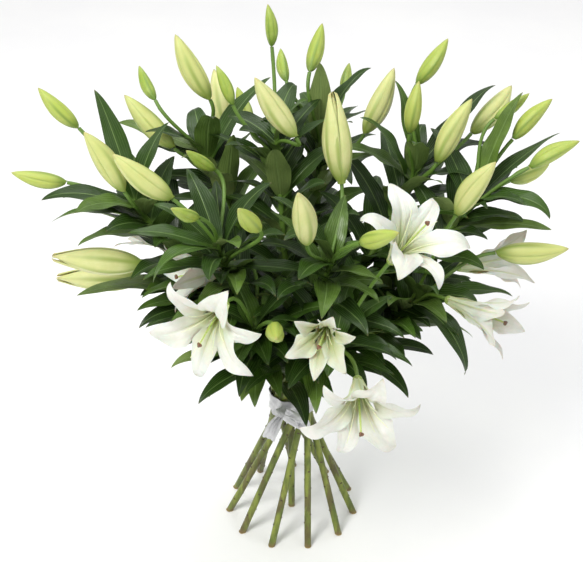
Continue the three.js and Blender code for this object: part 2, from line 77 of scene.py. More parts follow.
STEMS = [
    stem((-68, 158, 204), [
        head("cup", (-102, 48, 100), (-98, 10)), head("star", (-75, 5, 95), (-88, -15)),
        head("star", (-2, 62, 142), (-38, 56)),
    ], [
        leaf(0.9, (-25, 22), 55, 125), leaf(0.45, (-78, 14), 34, 100),
    ]),
    stem((-62, 112, 307), [
        head("opening", (80, 38, 104), (110, 72)), head("large", (-115, 38, 100), (-110, 70)),
        head("middle", (-72, 38, 132), (-46, 34)),
    ], [
        leaf(0.97, (-135, 60), 70, 125),
    ]),
    stem((-11, 190, 210), [
        head("large", (12, 28, 108), (-10, 10)), head("trumpet", (-72, 24, 72), (-36, -2)),
        head("trumpet", (52, 2, 74), (14, 0)), head("large", (-38, 74, 142), (-18, 62)),
    ], [
        leaf(0.97, (-6, 14), 24, 125), leaf(0.9, (-60, 12), 100, 155),
    ]),
    stem((5, 252, 324), [
        head("small", (58, 66, 112), (12, 36)), head("middle", (25, 56, 96), (15, 46)),
        head("middle", (-8, 38, 88), (4, 30)), head("middle", (34, 8, 62), (36, 2)),
    ], [
        leaf(0.99, (32, 60), 14, 165), leaf(0.97, (-25, 32), 90, 130),
        leaf(0.95, (10, 44), 20, 165), leaf(0.85, (-18, 20), 30, 145),
        leaf(0.55, (-108, 14), 40, 110),
    ]),
    stem((22, 190, 350), [
        head("middle", (100, 74, 112), (22, 54)), head("middle", (-120, 62, 72), (40, 80)),
        head("large", (-62, 28, 50), (30, 58)), head("large", (10, 30, 84), (48, 24)),
    ], [
        leaf(0.98, (128, 74), 16, 130), leaf(0.97, (20, 50), 14, 165),
        leaf(0.93, (-178, 44), 44, 118),
    ]),
    stem((72, 132, 374), [
        head("small", (142, 44, 84), (100, 30)), head("middle", (176, 80, 92), (72, 40)),
        head("small", (60, 24, 74), (80, 24)), head("large", (-32, 12, 72), (40, 58)),
    ], [
        leaf(0.98, (20, 66), 40, 125), leaf(0.95, (-90, 84), 12, 140),
        leaf(0.9, (-66, 24), 60, 115),
    ]),
    stem((145, 152, 372), [
        head("large", (-50, 74, 82), (155, 60)), head("small", (178, 48, 92), (120, 34)),
        head("large", (-160, 4, 40), (156, 42)), head("large", (64, -14, 80), (108, 46)),
    ], [
        leaf(0.97, (165, 14), 10, 135), leaf(0.93, (30, 58), 40, 150),
        leaf(0.75, (-70, 78), 14, 140),
    ]),
    stem((171, 146, 186), [
        head("opening", (-132, 40, 112), (-174, 9)), head("opening", (166, -3, 70), (-178, 2)),
        head("trumpet", (92, 34, 44), (155, 20)),
    ], [
        leaf(0.95, (-168, 14), 40, 170),
    ]),
    stem((-178, 214, 338), [
        head("middle", (146, 44, 122), (168, 46)), head("middle", (164, 8, 96), (-176, 14)),
        head("large", (-98, 42, 58), (180, 62)),
    ], [
        leaf(0.98, (131, 66), 14, 165), leaf(0.95, (-172, 29), 62, 140),
        leaf(0.88, (-155, 33), 66, 150), leaf(0.8, (-165, 36), 20, 130),
    ]),
    stem((-131, 148, 337), [
        head("large", (-170, 52, 88), (-173, 44)), head("small", (92, 42, 98), (-150, 44)),
        head("small", (-108, 50, 90), (-132, 36)), head("middle", (-52, 34, 112), (-118, 48)),
    ], [
        leaf(0.95, (-140, 29), 105, 125), leaf(0.85, (-12, 7), 44, 165),
    ]),
    stem((-110, 146, 222), [
        head("star", (-118, 48, 104), (-113, -3)), head("middle", (-72, 34, 104), (-86, 22)),
        head("trumpet", (104, 38, 88), (-166, -4)),
    ], [
        leaf(0.95, (-102, 18), 60, 110), leaf(0.7, (-125, 31), 45, 130),
        leaf(0.45, (-108, 14), 34, 105),
    ]),
    stem((110, 60, 412), [
        head("small", (98, 68, 112), (112, 76)), head("large", (-72, 20, 90), (176, 58)),
        head("middle", (112, -26, 112), (108, 30)), head("small", (-176, 34, 70), (140, 60)),
    ], [
        leaf(0.75, (-100, 66), 16, 125),
    ], centre=True),
]

STEM_RADIUS = 5 * MM
STEM_TIP_RADIUS = 3.4 * MM
STEM_GAP = 2 * MM  # between neighbours round the binding
STEM_LEAN = 24
FIRST_SLOT = -73  # bearing of the first stem of the ring
STALK_STEP = 17 * MM  # between the stalks, down the top of a stem
START_PULL = 0.35  # share of its length for which a stem keeps the way it starts in
TOP_PULL = 0.3
TOP_UPRIGHT = 0.15  # how far the top of a stem is drawn upright
GOLDEN_ANGLE = 137.5  # from one leaf to the next up a stem

band_corners = [Vector(corner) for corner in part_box("ribbon_band")]
TIE = (band_corners[0] + band_corners[1]) / 2


def heading(bearing, rise):
    """The unit vector along a bearing and a rise."""
    turn = radians(bearing)
    lift = radians(rise)
    level = cos(lift)
    return Vector((level * cos(turn), level * sin(turn), sin(lift)))


def level_across(way):
    """A level direction square to the one given."""
    across = UP.cross(way)
    return across.normalized() if across.length > 1e-3 else Vector((1, 0, 0))


def axes_across(way):
    """Two directions square to a way and to each other, the first of them level."""
    side = level_across(way)
    return side, way.cross(side)


def swung(start, end, angle):
    """A direction turned from one axis towards another."""
    return start * cos(angle) + end * sin(angle)


def mix(a, b, share):
    return a + (b - a) * share


def bezier(curve, t):
    """The point at a share of the way along a four-point curve."""
    a, b, c, d = curve
    s = 1 - t
    return a * s**3 + b * (3 * s * s * t) + c * (3 * s * t * t) + d * t**3


def bezier_way(curve, t):
    a, b, c, d = curve
    s = 1 - t
    return ((b - a) * (s * s) + (c - b) * (2 * s * t) + (d - c) * (t * t)).normalized()


ring_count = sum(not shoot["centre"] for shoot in STEMS)
slot_step = 360 / ring_count
half_slot = radians(slot_step / 2)
waist_radius = (2 * STEM_RADIUS + STEM_GAP) / (
    2 * sin(half_slot) * cos(radians(STEM_LEAN))
)

for number, shoot in enumerate(STEMS):
    slot = FIRST_SLOT + number * slot_step
    shoot["line"] = heading(slot, 90 if shoot["centre"] else 90 - STEM_LEAN)
    shoot["waist"] = TIE + heading(slot - 90, 0) * (0 if shoot["centre"] else waist_radius)
    bearing, out, height = shoot["whorl"]
    top = TIE + heading(bearing, 0) * (out * MM) + UP * (height * MM)
    climb = top - shoot["waist"]
    reach = climb.length
    end = mix(climb.normalized(), UP, TOP_UPRIGHT).normalized()
    shoot["reach"] = reach
    shoot["foot"] = shoot["waist"] - shoot["line"] * (TIE.z / shoot["line"].z)
    shoot["curve"] = (
        shoot["waist"],
        shoot["waist"] + shoot["line"] * (START_PULL * reach),
        top - end * (TOP_PULL * reach),
        top,
    )
    for k, bloom in enumerate(shoot["heads"]):
        bearing, rise, length = bloom["stalk"]
        bloom["base"] = top + heading(bearing, rise) * (length * MM)
        bloom["way"] = heading(*bloom["facing"])
        share = 1 - (k + 0.5) * STALK_STEP / reach
        start = bezier(shoot["curve"], share)
        climb = bloom["base"] - start
        span = climb.length
        out = mix(climb.normalized(), bezier_way(shoot["curve"], share), 0.5)
        bloom["stalk_curve"] = (
            start,
            start + out.normalized() * (START_PULL * span),
            bloom["base"] - bloom["way"] * (START_PULL * span),
            bloom["base"],
        )

# -------------------------------------------------------------------- the stems
# Each stem is one growth with its flower stalks: a round, slightly lumpy shoot,
# green above and brown-mottled below, with small dark scars where the lower leaves
# were stripped, and a plain level cut at the foot, browned where it has dried.

STEM_SIDES = 14
LOWER_STEPS = 14  # points along a stem, from below the floor to the binding
UPPER_STEPS = 48
STALK_STEPS = 16
STALK_RADIUS = 2.1 * MM
STALK_FOOT = 1.15  # of the stalk's radius, where it leaves the stem
STALK_SWELL = 1.25  # and just under its bud
LUMPS = 1.1 * MM
LUMP_SCALE = 70.0
SCAR_SIZE = 2.1 * MM
SCAR_SPACING = 13 * MM
FIRST_SCAR = 8 * MM  # up the first stem, and a little higher on each stem after it
SCAR_STAGGER = 3 * MM
LAST_SCAR = 20 * MM  # past the middle of the binding
BELOW_FLOOR = 10 * MM  # where a stem starts, before it is cut level
CUT_DEPTH = 1.2 * MM


class Nodes:
    """A node tree, with a short way to add each kind of node that it often needs."""

    def __init__(self, tree):
        self.tree = tree

    def put(self, kind, inputs=None, **settings):
        """Adds a node. An input is given a value, or the socket that it is linked to."""
        node = self.tree.nodes.new(kind)
        for key, value in settings.items():
            setattr(node, key, value)
        for key, value in (inputs or {}).items():
            if isinstance(value, bpy.types.NodeSocket):
                self.tree.links.new(value, node.inputs[key])
            else:
                node.inputs[key].default_value = value
        return node

    def first(self, kind, inputs=None, **settings):
        """Adds a node and gives its first output."""
        return self.put(kind, inputs, **settings).outputs[0]

    def maths(self, operation, a, b=0.0):
        return self.first("ShaderNodeMath", {0: a, 1: b}, operation=operation)

    def times(self, a, b):
        return self.maths("MULTIPLY", a, b)

    def less(self, a, b):
        return self.maths("SUBTRACT", a, b)

    def vector(self, **shares):
        return self.first("ShaderNodeCombineXYZ", shares)

    def tube(self, curve, sides, radius):
        """A round, capped skin along a curve."""
        ring = self.first("GeometryNodeCurvePrimitiveCircle", {"Resolution": sides, "Radius": 1.0})
        return self.first("GeometryNodeCurveToMesh", {
            "Curve": curve, "Profile Curve": ring, "Scale": radius, "Fill Caps": True})

    def copies(self, points, instance, **inputs):
        return self.first("GeometryNodeInstanceOnPoints",
                          {"Points": points, "Instance": instance, **inputs})

    def grown(self, geometry, finish, result):
        """Makes copies real, gives them their material and hands them on."""
        whole = self.first("GeometryNodeRealizeInstances", {"Geometry": geometry})
        coated = self.first("GeometryNodeSetMaterial", {"Geometry": whole, "Material": finish})
        self.tree.links.new(coated, result.inputs["Geometry"])
        return self.tree

    def attribute(self, name):
        return self.put("ShaderNodeAttribute", attribute_name=name).outputs["Fac"]

    def stretched(self, vector, *scale):
        return self.first("ShaderNodeMapping", {"Vector": vector, "Scale": scale})

    def span(self, value, low, high):
        """Nought at the low value and one at the high one."""
        return self.first("ShaderNodeMapRange", {"Value": value, "From Min": low, "From Max": high},
                          interpolation_type="SMOOTHSTEP")

    def ramp(self, factor, *stops):
        """Colours by a factor: each stop is its place and its dye."""
        node = self.put("ShaderNodeValToRGB", {"Fac": factor})
        steps = node.color_ramp.elements
        while len(steps) < len(stops):
            steps.new(1.0)
        for step, (place, colour) in zip(steps, stops):
            step.position = place
            step.color = dye(colour)
        return node.outputs["Color"]

    def blend(self, share, below, above):
        return self.put("ShaderNodeMix", {0: share, 6: below, 7: above}, data_type="RGBA",
                        blend_type="MIX").outputs[2]

    def shared(self, group, **inputs):
        """Adds a node group and gives its outputs."""
        return self.put("ShaderNodeGroup", inputs, node_tree=group).outputs

    def mottle(self, scale, low=0.35, high=0.65, vector=None):
        place = vector or self.put("ShaderNodeTexCoord").outputs["Object"]
        return self.shared(MOTTLE, Vector=place, Scale=scale, Low=low, High=high)["Patches"]


class Skin(Nodes):
    """A new material: its nodes, its shader with the steady values, and its colour."""

    def __init__(self, name, roughness, **shader):
        self.material = bpy.data.materials.new(name)
        self.material.use_nodes = True
        super().__init__(self.material.node_tree)
        self.colour = None
        self.shade = self.tree.nodes["Principled BSDF"]
        self.shade.inputs["Roughness"].default_value = roughness
        for label, value in shader.items():
            self.shade.inputs[label.replace("_", " ")].default_value = value

    def lay(self, share, strength, code):
        """Lays a dye over the colour, by a share and a strength."""
        self.colour = self.blend(self.times(share, strength), self.colour, dye(code))

    def speckle(self, scale, low_code, high_code):
        """Colours the whole skin in patches of two dyes, and gives the patches."""
        patches = self.mottle(scale)
        self.colour = self.blend(patches, dye(low_code), dye(high_code))
        return patches

    def between(self, value, low, high):
        return self.first("ShaderNodeMapRange", {"Value": value, "To Min": low, "To Max": high})

    def done(self, height=None, strength=0.0, distance=0.0, roughness=None):
        """Feeds the shader its colour, roughness and relief, and gives the material."""
        self.tree.links.new(self.colour, self.shade.inputs["Base Color"])
        if roughness:
            self.tree.links.new(roughness, self.shade.inputs["Roughness"])
        if height:
            bump = self.first("ShaderNodeBump",
                              {"Height": height, "Strength": strength, "Distance": distance})
            self.tree.links.new(bump, self.shade.inputs["Normal"])
        return self.material


def new_group(name, kind, inputs, outputs):
    """A node group with named sockets, each written as its label, a colon and its kind.
    Gives its nodes, its inputs and its output node."""
    tree = bpy.data.node_groups.new(name, kind)
    for in_out, sockets in (("INPUT", inputs), ("OUTPUT", outputs)):
        for row in sockets.split(", "):
            label, socket = row.split(":")
            tree.interface.new_socket(label, in_out=in_out, socket_type="NodeSocket" + socket)
    return Nodes(tree), tree.nodes.new("NodeGroupInput").outputs, tree.nodes.new("NodeGroupOutput")


def in_scene(name, data):
    """A new object at the origin that shows some data."""
    made = bpy.data.objects.new(name, data)
    bpy.context.scene.collection.objects.link(made)
    return made


def grown(source, tree, name, **settings):
    """The plain mesh piece that a tree of geometry nodes makes of a source object."""
    modifier = source.modifiers.new("growth", "NODES")
    modifier.node_group = tree
    for item in tree.interface.items_tree:
        label = item.name.lower().replace(" ", "_")
        if item.in_out == "INPUT" and label in settings:
            modifier[item.identifier] = settings[label]
    bpy.context.view_layer.update()
    graph = bpy.context.evaluated_depsgraph_get()
    mesh = bpy.data.meshes.new_from_object(source.evaluated_get(graph))
    source.modifiers.clear()
    bpy.data.objects.remove(source)
    mesh.name = name
    return in_scene(name, mesh)


def path_object(name, runs):
    """A curve object with one run of points and radii for each shoot."""
    data = bpy.data.curves.new(name, "CURVE")
    data.dimensions = "3D"
    for run in runs:
        spline = data.splines.new("POLY")
        spline.points.add(len(run) - 1)
        for point, (place, radius) in zip(spline.points, run):
            point.co = (*place, 1)
            point.radius = radius
    return in_scene(name, data)


def shoot_tree():
    """A round shoot along each curve, as thick as the curve's radius, a little lumpy."""
    nodes, given, result = new_group(
        "green_shoot", "GeometryNodeTree",
        "Geometry:Geometry, Sides:Int, Lumps:Float, Lump Scale:Float, Finish:Material",
        "Geometry:Geometry")
    tube = nodes.tube(given["Geometry"], given["Sides"], nodes.first("GeometryNodeInputRadius"))
    bumps = nodes.first("ShaderNodeTexNoise", {"Scale": given["Lump Scale"], "Detail": 2.0})
    height = nodes.times(nodes.less(bumps, 0.5), given["Lumps"])
    normal = nodes.first("GeometryNodeInputNormal")
    offset = nodes.first("ShaderNodeVectorMath", {0: normal, "Scale": height}, operation="SCALE")
    moved = nodes.first("GeometryNodeSetPosition", {"Geometry": tube, "Offset": offset})
    return nodes.grown(moved, given["Finish"], result)


def scar_tree():
    """Small flat scars up each curve, one to a step, each turned from the one below it."""
    nodes, given, result = new_group(
        "leaf_scars", "GeometryNodeTree",
        "Geometry:Geometry, Spacing:Float, Size:Float, Out:Float, Turn:Float, Finish:Material",
        "Geometry:Geometry")
    points = nodes.put("GeometryNodeCurveToPoints",
                       {"Curve": given["Geometry"], "Length": given["Spacing"]}, mode="LENGTH")
    disc = nodes.first("GeometryNodeMeshIcoSphere", {"Radius": given["Size"], "Subdivisions": 2})
    scar = nodes.first("GeometryNodeTransform", {
        "Geometry": disc, "Translation": nodes.vector(X=given["Out"]), "Scale": (0.4, 1.0, 0.55)})
    turn = nodes.times(nodes.first("GeometryNodeInputIndex"), given["Turn"])
    facing = nodes.first("FunctionNodeRotateRotation", {
        "Rotation": points.outputs["Rotation"],
        "Rotate By": nodes.vector(Z=turn),
    }, rotation_space="LOCAL")
    scars = nodes.copies(points.outputs["Points"], scar, Rotation=facing)
    return nodes.grown(scars, given["Finish"], result)


def dye(code):
    """A linear colour from six hex digits."""
    shares = [int(code[i:i + 2], 16) / 255 for i in (0, 2, 4)]
    linear = [c / 12.92 if c <= 0.04045 else ((c + 0.055) / 1.055) ** 2.4 for c in shares]
    return (*linear, 1.0)


def mottle_group():
    """Soft patches of a given size, for the colour and the shine of anything that grew."""
    nodes, given, result = new_group(
        "mottle", "ShaderNodeTree",
        "Vector:Vector, Scale:Float, Low:Float, High:Float", "Patches:Float")
    patches = nodes.first("ShaderNodeTexNoise", {
        "Vector": given["Vector"], "Scale": given["Scale"], "Detail": 4.0, "Roughness": 0.6})
    shown = nodes.span(patches, given["Low"], given["High"])
    nodes.tree.links.new(shown, result.inputs["Patches"])
    return nodes.tree


MOTTLE = mottle_group()


def stem_finish():
    """Olive green skin, brown-mottled low on the stem, with fine lengthwise fibres."""
    skin = Skin("stem_skin", 0.48, Coat_Weight=0.15, Coat_Roughness=0.4)
    place = skin.put("ShaderNodeTexCoord").outputs["Object"]
    height = skin.put("ShaderNodeSeparateXYZ", {0: place}).outputs["Z"]
    drawn = skin.stretched(place, 1.0, 1.0, 0.18)
    green = skin.blend(skin.mottle(90.0, vector=drawn), dye("55651f"), dye("848f38"))
    skin.colour = skin.blend(skin.span(height, TIE.z, TIE.z + 0.3), green, dye("5f8030"))
    low_down = skin.span(height, TIE.z + 0.06, TIE.z - 0.13)
    skin.lay(skin.times(skin.mottle(60.0, 0.48, 0.62, drawn), low_down), 0.7, "57452a")
    skin.lay(skin.span(height, 0.009, 0.001), 0.75, "7d6440")
    fibres = skin.mottle(700.0, 0.3, 0.7, skin.stretched(place, 1.0, 1.0, 0.06))
    return skin.done(fibres, 0.35, 0.0006, skin.between(fibres, 0.4, 0.58))


def grain_finish(name, roughness, scale, low, high, relief=(), **shader):
    """Plain grained skin in two close colours, with a relief where it is given one."""
    skin = Skin(name, roughness, **shader)
    grain = skin.speckle(scale, low, high)
    return skin.done(grain, *relief) if relief else skin.done()


def level_cut(piece):
    """Cuts a stem level at the floor and closes the cut."""
    mesh = piece.data
    work = bmesh.new()
    work.from_mesh(mesh)
    everything = work.verts[:] + work.edges[:] + work.faces[:]
    bmesh.ops.bisect_plane(work, geom=everything, plane_co=(0, 0, 0), plane_no=UP, clear_inner=True)
    rim = [edge for edge in work.edges if edge.is_boundary]
    bmesh.ops.edgenet_fill(work, edges=rim)
    bmesh.ops.recalc_face_normals(work, faces=work.faces)
    for face in work.faces:
        face.smooth = len(face.verts) == 4
    work.to_mesh(mesh)
    work.free()


stem_skin = stem_finish()
green_shoot = shoot_tree()

for number, shoot in enumerate(STEMS, start=1):
    below = shoot["foot"] - shoot["line"] * BELOW_FLOOR
    main = [(mix(below, shoot["waist"], k / LOWER_STEPS), STEM_RADIUS) for k in range(LOWER_STEPS)]
    for k in range(UPPER_STEPS + 1):
        share = k / UPPER_STEPS
        main.append((bezier(shoot["curve"], share), mix(STEM_RADIUS, STEM_TIP_RADIUS, share)))
    runs = [main]
    for bloom in shoot["heads"]:
        runs.append([
            (bezier(bloom["stalk_curve"], k / STALK_STEPS),
             STALK_RADIUS * mix(STALK_FOOT, STALK_SWELL, k / STALK_STEPS))
            for k in range(STALK_STEPS + 1)
        ])
    piece = grown(path_object("shoot", runs), green_shoot, f"lily_stem_{number:02d}",
                  sides=STEM_SIDES, lumps=LUMPS, lump_scale=LUMP_SCALE, finish=stem_skin)
    level_cut(piece)
    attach(piece, "root")
    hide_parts(f"stem_{number:02d}")

lower_runs = []
for number, shoot in enumerate(STEMS):
    low = shoot["foot"] + shoot["line"] * (FIRST_SCAR + SCAR_STAGGER * number)
    high = shoot["waist"] + shoot["line"] * LAST_SCAR
    lower_runs.append([(mix(low, high, k / 8), 1.0) for k in range(9)])
scars = grown(path_object("lower_stems", lower_runs), scar_tree(), "leaf_scars",
              spacing=SCAR_SPACING, size=SCAR_SIZE, out=STEM_RADIUS, turn=radians(GOLDEN_ANGLE),
              finish=grain_finish("leaf_scar", 0.7, 300.0, "3f3226", "5b4a35"))
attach(scars, "root")

# ------------------------------------------------------------------- the buds
# A closed lily bud is three waxy outer tepals shut over three inner ones: a long
# pointed body with a seam between each pair and a rib down the middle of each. It
# starts green and turns cream as it swells, the ribs and the foot last of all.

BUDS = {
    "small": {"length": 58 * MM, "radius": 8.5 * MM, "age": 0.12},
    "middle": {"length": 76 * MM, "radius": 11.5 * MM, "age": 0.34},
    "large": {"length": 100 * MM, "radius": 15.5 * MM, "age": 0.78},
}
BUD_AROUND = 48
BUD_ALONG = 30
BUD_WRAP = 0.97  # of the bud's radius, so that it lies inside its solid
BUD_TWIST = 0.25  # radians from end to end
RIB_HEIGHT = 0.075  # of the bud's radius
SEAM_DEPTH = 0.12
FLANK_HEIGHT = 0.045
BUD_BOW = 0.035  # of the bud's length
SHARPEST = radians(65)  # an edge that is sharper than this is not smoothed over


class Growth:
    """The points and faces of one piece, gathered blade by blade."""

    def __init__(self):
        self.points = []
        self.faces = []
        self.uv = []
        self.tint = []
        self.upper = []

    def add_point(self, place, u, v, tint):
        self.points.append(place)
        self.uv.append((u, v))
        self.tint.append(tint)
        return len(self.points) - 1

    def add_face(self, corners, upper):
        corners = tuple(dict.fromkeys(corners))
        if len(corners) > 2:
            self.faces.append(corners)
            self.upper.append(upper)

    def add_round(self, place, pattern, around, along, tint):
        """A closed round body. place(angle, v) is a point of its skin, v from 0 to 1."""
        rows = []
        for j in range(along + 1):
            v = j / along
            count = 1 if j in (0, along) else around
            turns = [2 * pi * i / around for i in range(count)]
            row = [self.add_point(place(turn, v), pattern(turn), v, tint) for turn in turns]
            rows.append(row * around if count == 1 else row)
        for low, high in zip(rows, rows[1:]):
            for i in range(around):
                k = (i + 1) % around
                self.add_face((low[i], low[k], high[k], high[i]), 1.0)

    def add_blade(self, place, depth, across, along, tint, pointed=True):
        """A closed blade. place(u, v) is a point of its middle surface, u from -1 to 1
        across and v from 0 to 1 along it, and depth(u, v) is half its thickness."""
        grid = [[place(2 * i / across - 1, j / along) for i in range(across + 1)]
                for j in range(along + 1)]
        rows = []
        for j, row in enumerate(grid):
            v = j / along
            pairs = []
            for i, middle in enumerate(row):
                u = 2 * i / across - 1
                if pointed and j == along and i:
                    pairs.append(pairs[0])
                elif i in (0, across) or j in (0, along):
                    pairs.append((self.add_point(middle, u / 2 + 0.5, v, tint),) * 2)
                else:
                    ahead = grid[j + 1][i] - grid[j - 1][i]
                    aside = grid[j][i + 1] - grid[j][i - 1]
                    half = ahead.cross(aside).normalized() * depth(u, v)
                    pairs.append([self.add_point(side, u / 2 + 0.5, v, tint)
                                  for side in (middle + half, middle - half)])
            rows.append(pairs)
        for low, high in zip(rows, rows[1:]):
            for i in range(across):
                a, b, c, d = low[i], high[i], high[i + 1], low[i + 1]
                self.add_face((a[0], b[0], c[0], d[0]), 1.0)
                self.add_face((a[1], d[1], c[1], b[1]), 0.0)

    def piece(self, name, material):
        mesh = bpy.data.meshes.new(name)
        mesh.from_pydata(self.points, [], self.faces)
        uv = mesh.uv_layers.new(name="UVMap")
        corners = [0] * len(mesh.loops)
        mesh.loops.foreach_get("vertex_index", corners)
        uv.data.foreach_set("uv", [share for corner in corners for share in self.uv[corner]])
        mesh.attributes.new("tint", "FLOAT", "POINT").data.foreach_set("value", self.tint)
        mesh.attributes.new("upper", "FLOAT", "FACE").data.foreach_set("value", self.upper)
        mesh.polygons.foreach_set("use_smooth", [True] * len(self.faces))
        mesh.set_sharp_from_angle(angle=SHARPEST)
        mesh.materials.append(material)
        return in_scene(name, mesh)


def round_growth(place, pattern, around, along, tint):
    growth = Growth()
    growth.add_round(place, pattern, around, along, tint)
    return growth


def turn_share(turn):
    return turn / tau


def bud_radius(radius, v):
    return radius * max(sin(pi * v**0.8) ** 0.75, 0.3 * (1 - v))


def from_rib(turn):
    """Nought at the middle of an outer tepal and one at the seam to the next."""
    third = (turn / (2 * pi) * 3 + 0.5) % 1 - 0.5
    return abs(third) * 2


def ridge(away, width):
    """One on a line, falling off to nought over a width to both sides."""
    return exp(-((away / width) ** 2))


def bud_skin(base, way, length, radius, roll, bow):
    """place(angle, v) on a bud, which is a rounded triangle with ribs and seams."""
    side, front = axes_across(way)
    bow_way = swung(side, front, bow) * (BUD_BOW * length)

    def place(turn, v):
        away = from_rib(turn)
        swell = sin(pi * min(1, v * 1.1)) ** 0.5 if 0 < v < 0.9 else 0.35
        rib = RIB_HEIGHT * ridge(away, 0.13)
        seam = SEAM_DEPTH * ridge(1 - away, 0.11)
        flank = FLANK_HEIGHT * cos(pi * away)
        r = bud_radius(radius, v) * (1 + swell * (rib + flank - seam))
        out = swung(side, front, turn + roll + BUD_TWIST * v)
        return base + way * (length * v) + bow_way * sin(pi * v) + out * r

    return place


def bud_finish():
    """Waxy skin: lime green when young, cream when old, with green ribs and foot."""
    skin = Skin("bud_skin", 0.42, Subsurface_Weight=0.12, Subsurface_Scale=0.004,
                Coat_Weight=0.12, Coat_Roughness=0.35)
    age = skin.attribute("tint")
    where = skin.first("ShaderNodeUVMap")
    from_middle, along, _ = skin.put("ShaderNodeSeparateXYZ", {0: where}).outputs
    skin.colour = skin.ramp(age, (0.05, "8ba736"), (0.35, "a9b94c"), (0.6, "c0c76e"), (0.85, "d8d79b"))
    skin.lay(skin.mottle(55.0), 0.35, "bcc573")
    foot = skin.ramp(age, (0.1, "557a24"), (0.8, "8fa548"))
    skin.colour = skin.blend(skin.span(along, 0.32, 0.02), skin.colour, foot)
    rib_green = skin.ramp(age, (0.1, "5d8228"), (0.8, "8ea24a"))
    rib = skin.times(skin.span(from_middle, 0.3, 0.02), skin.span(along, 1.05, 0.35))
    skin.colour = skin.blend(skin.times(rib, 0.85), skin.colour, rib_green)
    skin.lay(skin.span(from_middle, 0.86, 1.0), 0.4, "8fa552")
    skin.lay(skin.span(along, 0.9, 1.0), 0.6, "a89a66")
    fibres = skin.mottle(1.6, 0.25, 0.75, skin.stretched(where, 26.0, 1.5, 1.0))
    skin.lay(fibres, 0.3, "a6b552")
    return skin.done(fibres, 0.3, 0.0006, skin.between(fibres, 0.34, 0.5))


bud_wax = bud_finish()
counts = {}
head_growths = []  # what the leaves have to stay clear of


def next_name(label):
    counts[label] = counts.get(label, 0) + 1
    return f"{label}_{counts[label]:02d}"


def heads_of(forms):
    """Every head of the kinds that have a form, with its form."""
    for shoot in STEMS:
        for bloom in shoot["heads"]:
            if bloom["kind"] in forms:
                yield bloom, forms[bloom["kind"]]


for bloom, form in heads_of(BUDS):
    node = next_name("bud")
    chance = random.Random(node)
    bud = round_growth(
        bud_skin(bloom["base"], bloom["way"], form["length"], form["radius"] * BUD_WRAP,
                 chance.uniform(0, 2), chance.uniform(0, 6)),
        from_rib, BUD_AROUND, BUD_ALONG, form["age"] + chance.uniform(-0.1, 0.12))
    head_growths.append(bud)
    piece = bud.piece("lily_" + node, bud_wax)
    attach(piece, "root")
    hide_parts(node)

# ------------------------------------------------------------- the opening buds
# A few long buds have started to open: the three outer tepals have come apart at
# their tips and curl a little outwards, and the inner ones show pointed between.

OPENING_BUDS = {"opening": {"length": 124 * MM, "radius": 17.5 * MM, "age": 0.9}}
HEART_LENGTH = 0.95  # of the bud's length
HEART_RADIUS = 0.92
HEART_TURN = 1.05  # radians, a sixth of a turn, which sets its ribs between the sepals
SEPAL_DEPTH = 0.7 * MM
SEPAL_FLARE = 5 * MM
SEPAL_CUP = 2.5 * MM
SEPAL_WIDTH = 1.02  # half a third of a turn, and a little over
SEPAL_FREE = 0.62  # of its length, where a sepal comes free of its neighbours

for bloom, form in heads_of(OPENING_BUDS):
    node = next_name("opening_bud")
    chance = random.Random(node)
    base = bloom["base"]
    way = bloom["way"]
    side, front = axes_across(way)
    roll = chance.uniform(0, 2)
    heart = round_growth(
        bud_skin(base, way, form["length"] * HEART_LENGTH, form["radius"] * HEART_RADIUS,
                 roll + HEART_TURN, 0.0),
        from_rib, BUD_AROUND, BUD_ALONG, form["age"] + 0.1)
    head_growths.append(heart)
    piece = heart.piece(f"lily_{node}_heart", bud_wax)
    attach(piece, "root")
    sepals = Growth()
    for n in range(3):
        flare = SEPAL_FLARE * chance.uniform(0.6, 1.2)
        turn0 = roll + n * 2 * pi / 3

        def place(u, v):
            free = max(0, (v - SEPAL_FREE) / (1 - SEPAL_FREE))
            narrow = 1 - 0.55 * free**1.5
            out = swung(side, front, turn0 + u * SEPAL_WIDTH * narrow + 0.15 * v)
            r = bud_radius(form["radius"], min(v, 0.999)) * (1 + 0.05 * (1 - abs(u)))
            lift = flare * free**2 - SEPAL_CUP * free * abs(u)
            return base + way * (form["length"] * v) + out * r + swung(side, front, turn0) * lift

        sepals.add_blade(place, lambda u, v: SEPAL_DEPTH, 14, 36, form["age"])
    sepals.uv = [(abs(2 * u - 1), v) for u, v in sepals.uv]
    head_growths.append(sepals)
    piece = sepals.piece(f"lily_{node}_sepals", bud_wax)
    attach(piece, "root")
    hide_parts(node)

# ----------------------------------------------------------------- the flowers
# An open lily has six thick white tepals on a short green receptacle, three narrow
# outer ones and three broad inner ones laid over the gaps between them. Each is
# gutter-shaped at the throat, where it is yellow-green, and ruffled at the margins,
# and its tip rolls back. Six pale filaments and a green pistil with a brown
# three-lobed stigma stand in the throat. The florist has pinched the anthers off.

# Tepal and half width are in millimetres, tip and curl in degrees from the axis, throat
# is how far the green reaches and spread how far the filaments do, as shares of a tepal.
BLOOMS = {
    "cup": {"node": "cup_flower", "tepal": 88, "half": 20, "tip": 56, "bend": 1.4, "curl": 22,
            "throat": 1.15, "spread": 0.11},
    "trumpet": {"node": "trumpet_flower", "tepal": 112, "half": 21, "tip": 44, "bend": 1.8, "curl": 32,
                "throat": 0.75, "spread": 0.11},
    "star": {"node": "open_flower", "tepal": 116, "half": 24, "tip": 106, "bend": 1.35, "curl": 46,
             "throat": 0.62, "spread": 0.26},
}
TEPAL_ALONG = 36
TEPAL_ACROSS = 18
TEPAL_DEPTH = 0.55 * MM
TEPAL_START = 8  # degrees from the axis, at its foot
INNER_RUFFLE = 5.6 * MM
OUTER_RUFFLE = 3.4 * MM
OUTER_BEHIND = 2.2 * MM  # how far the outer tepals lie under the inner ones
OUTER_WIDTH = 0.74  # of an inner tepal's
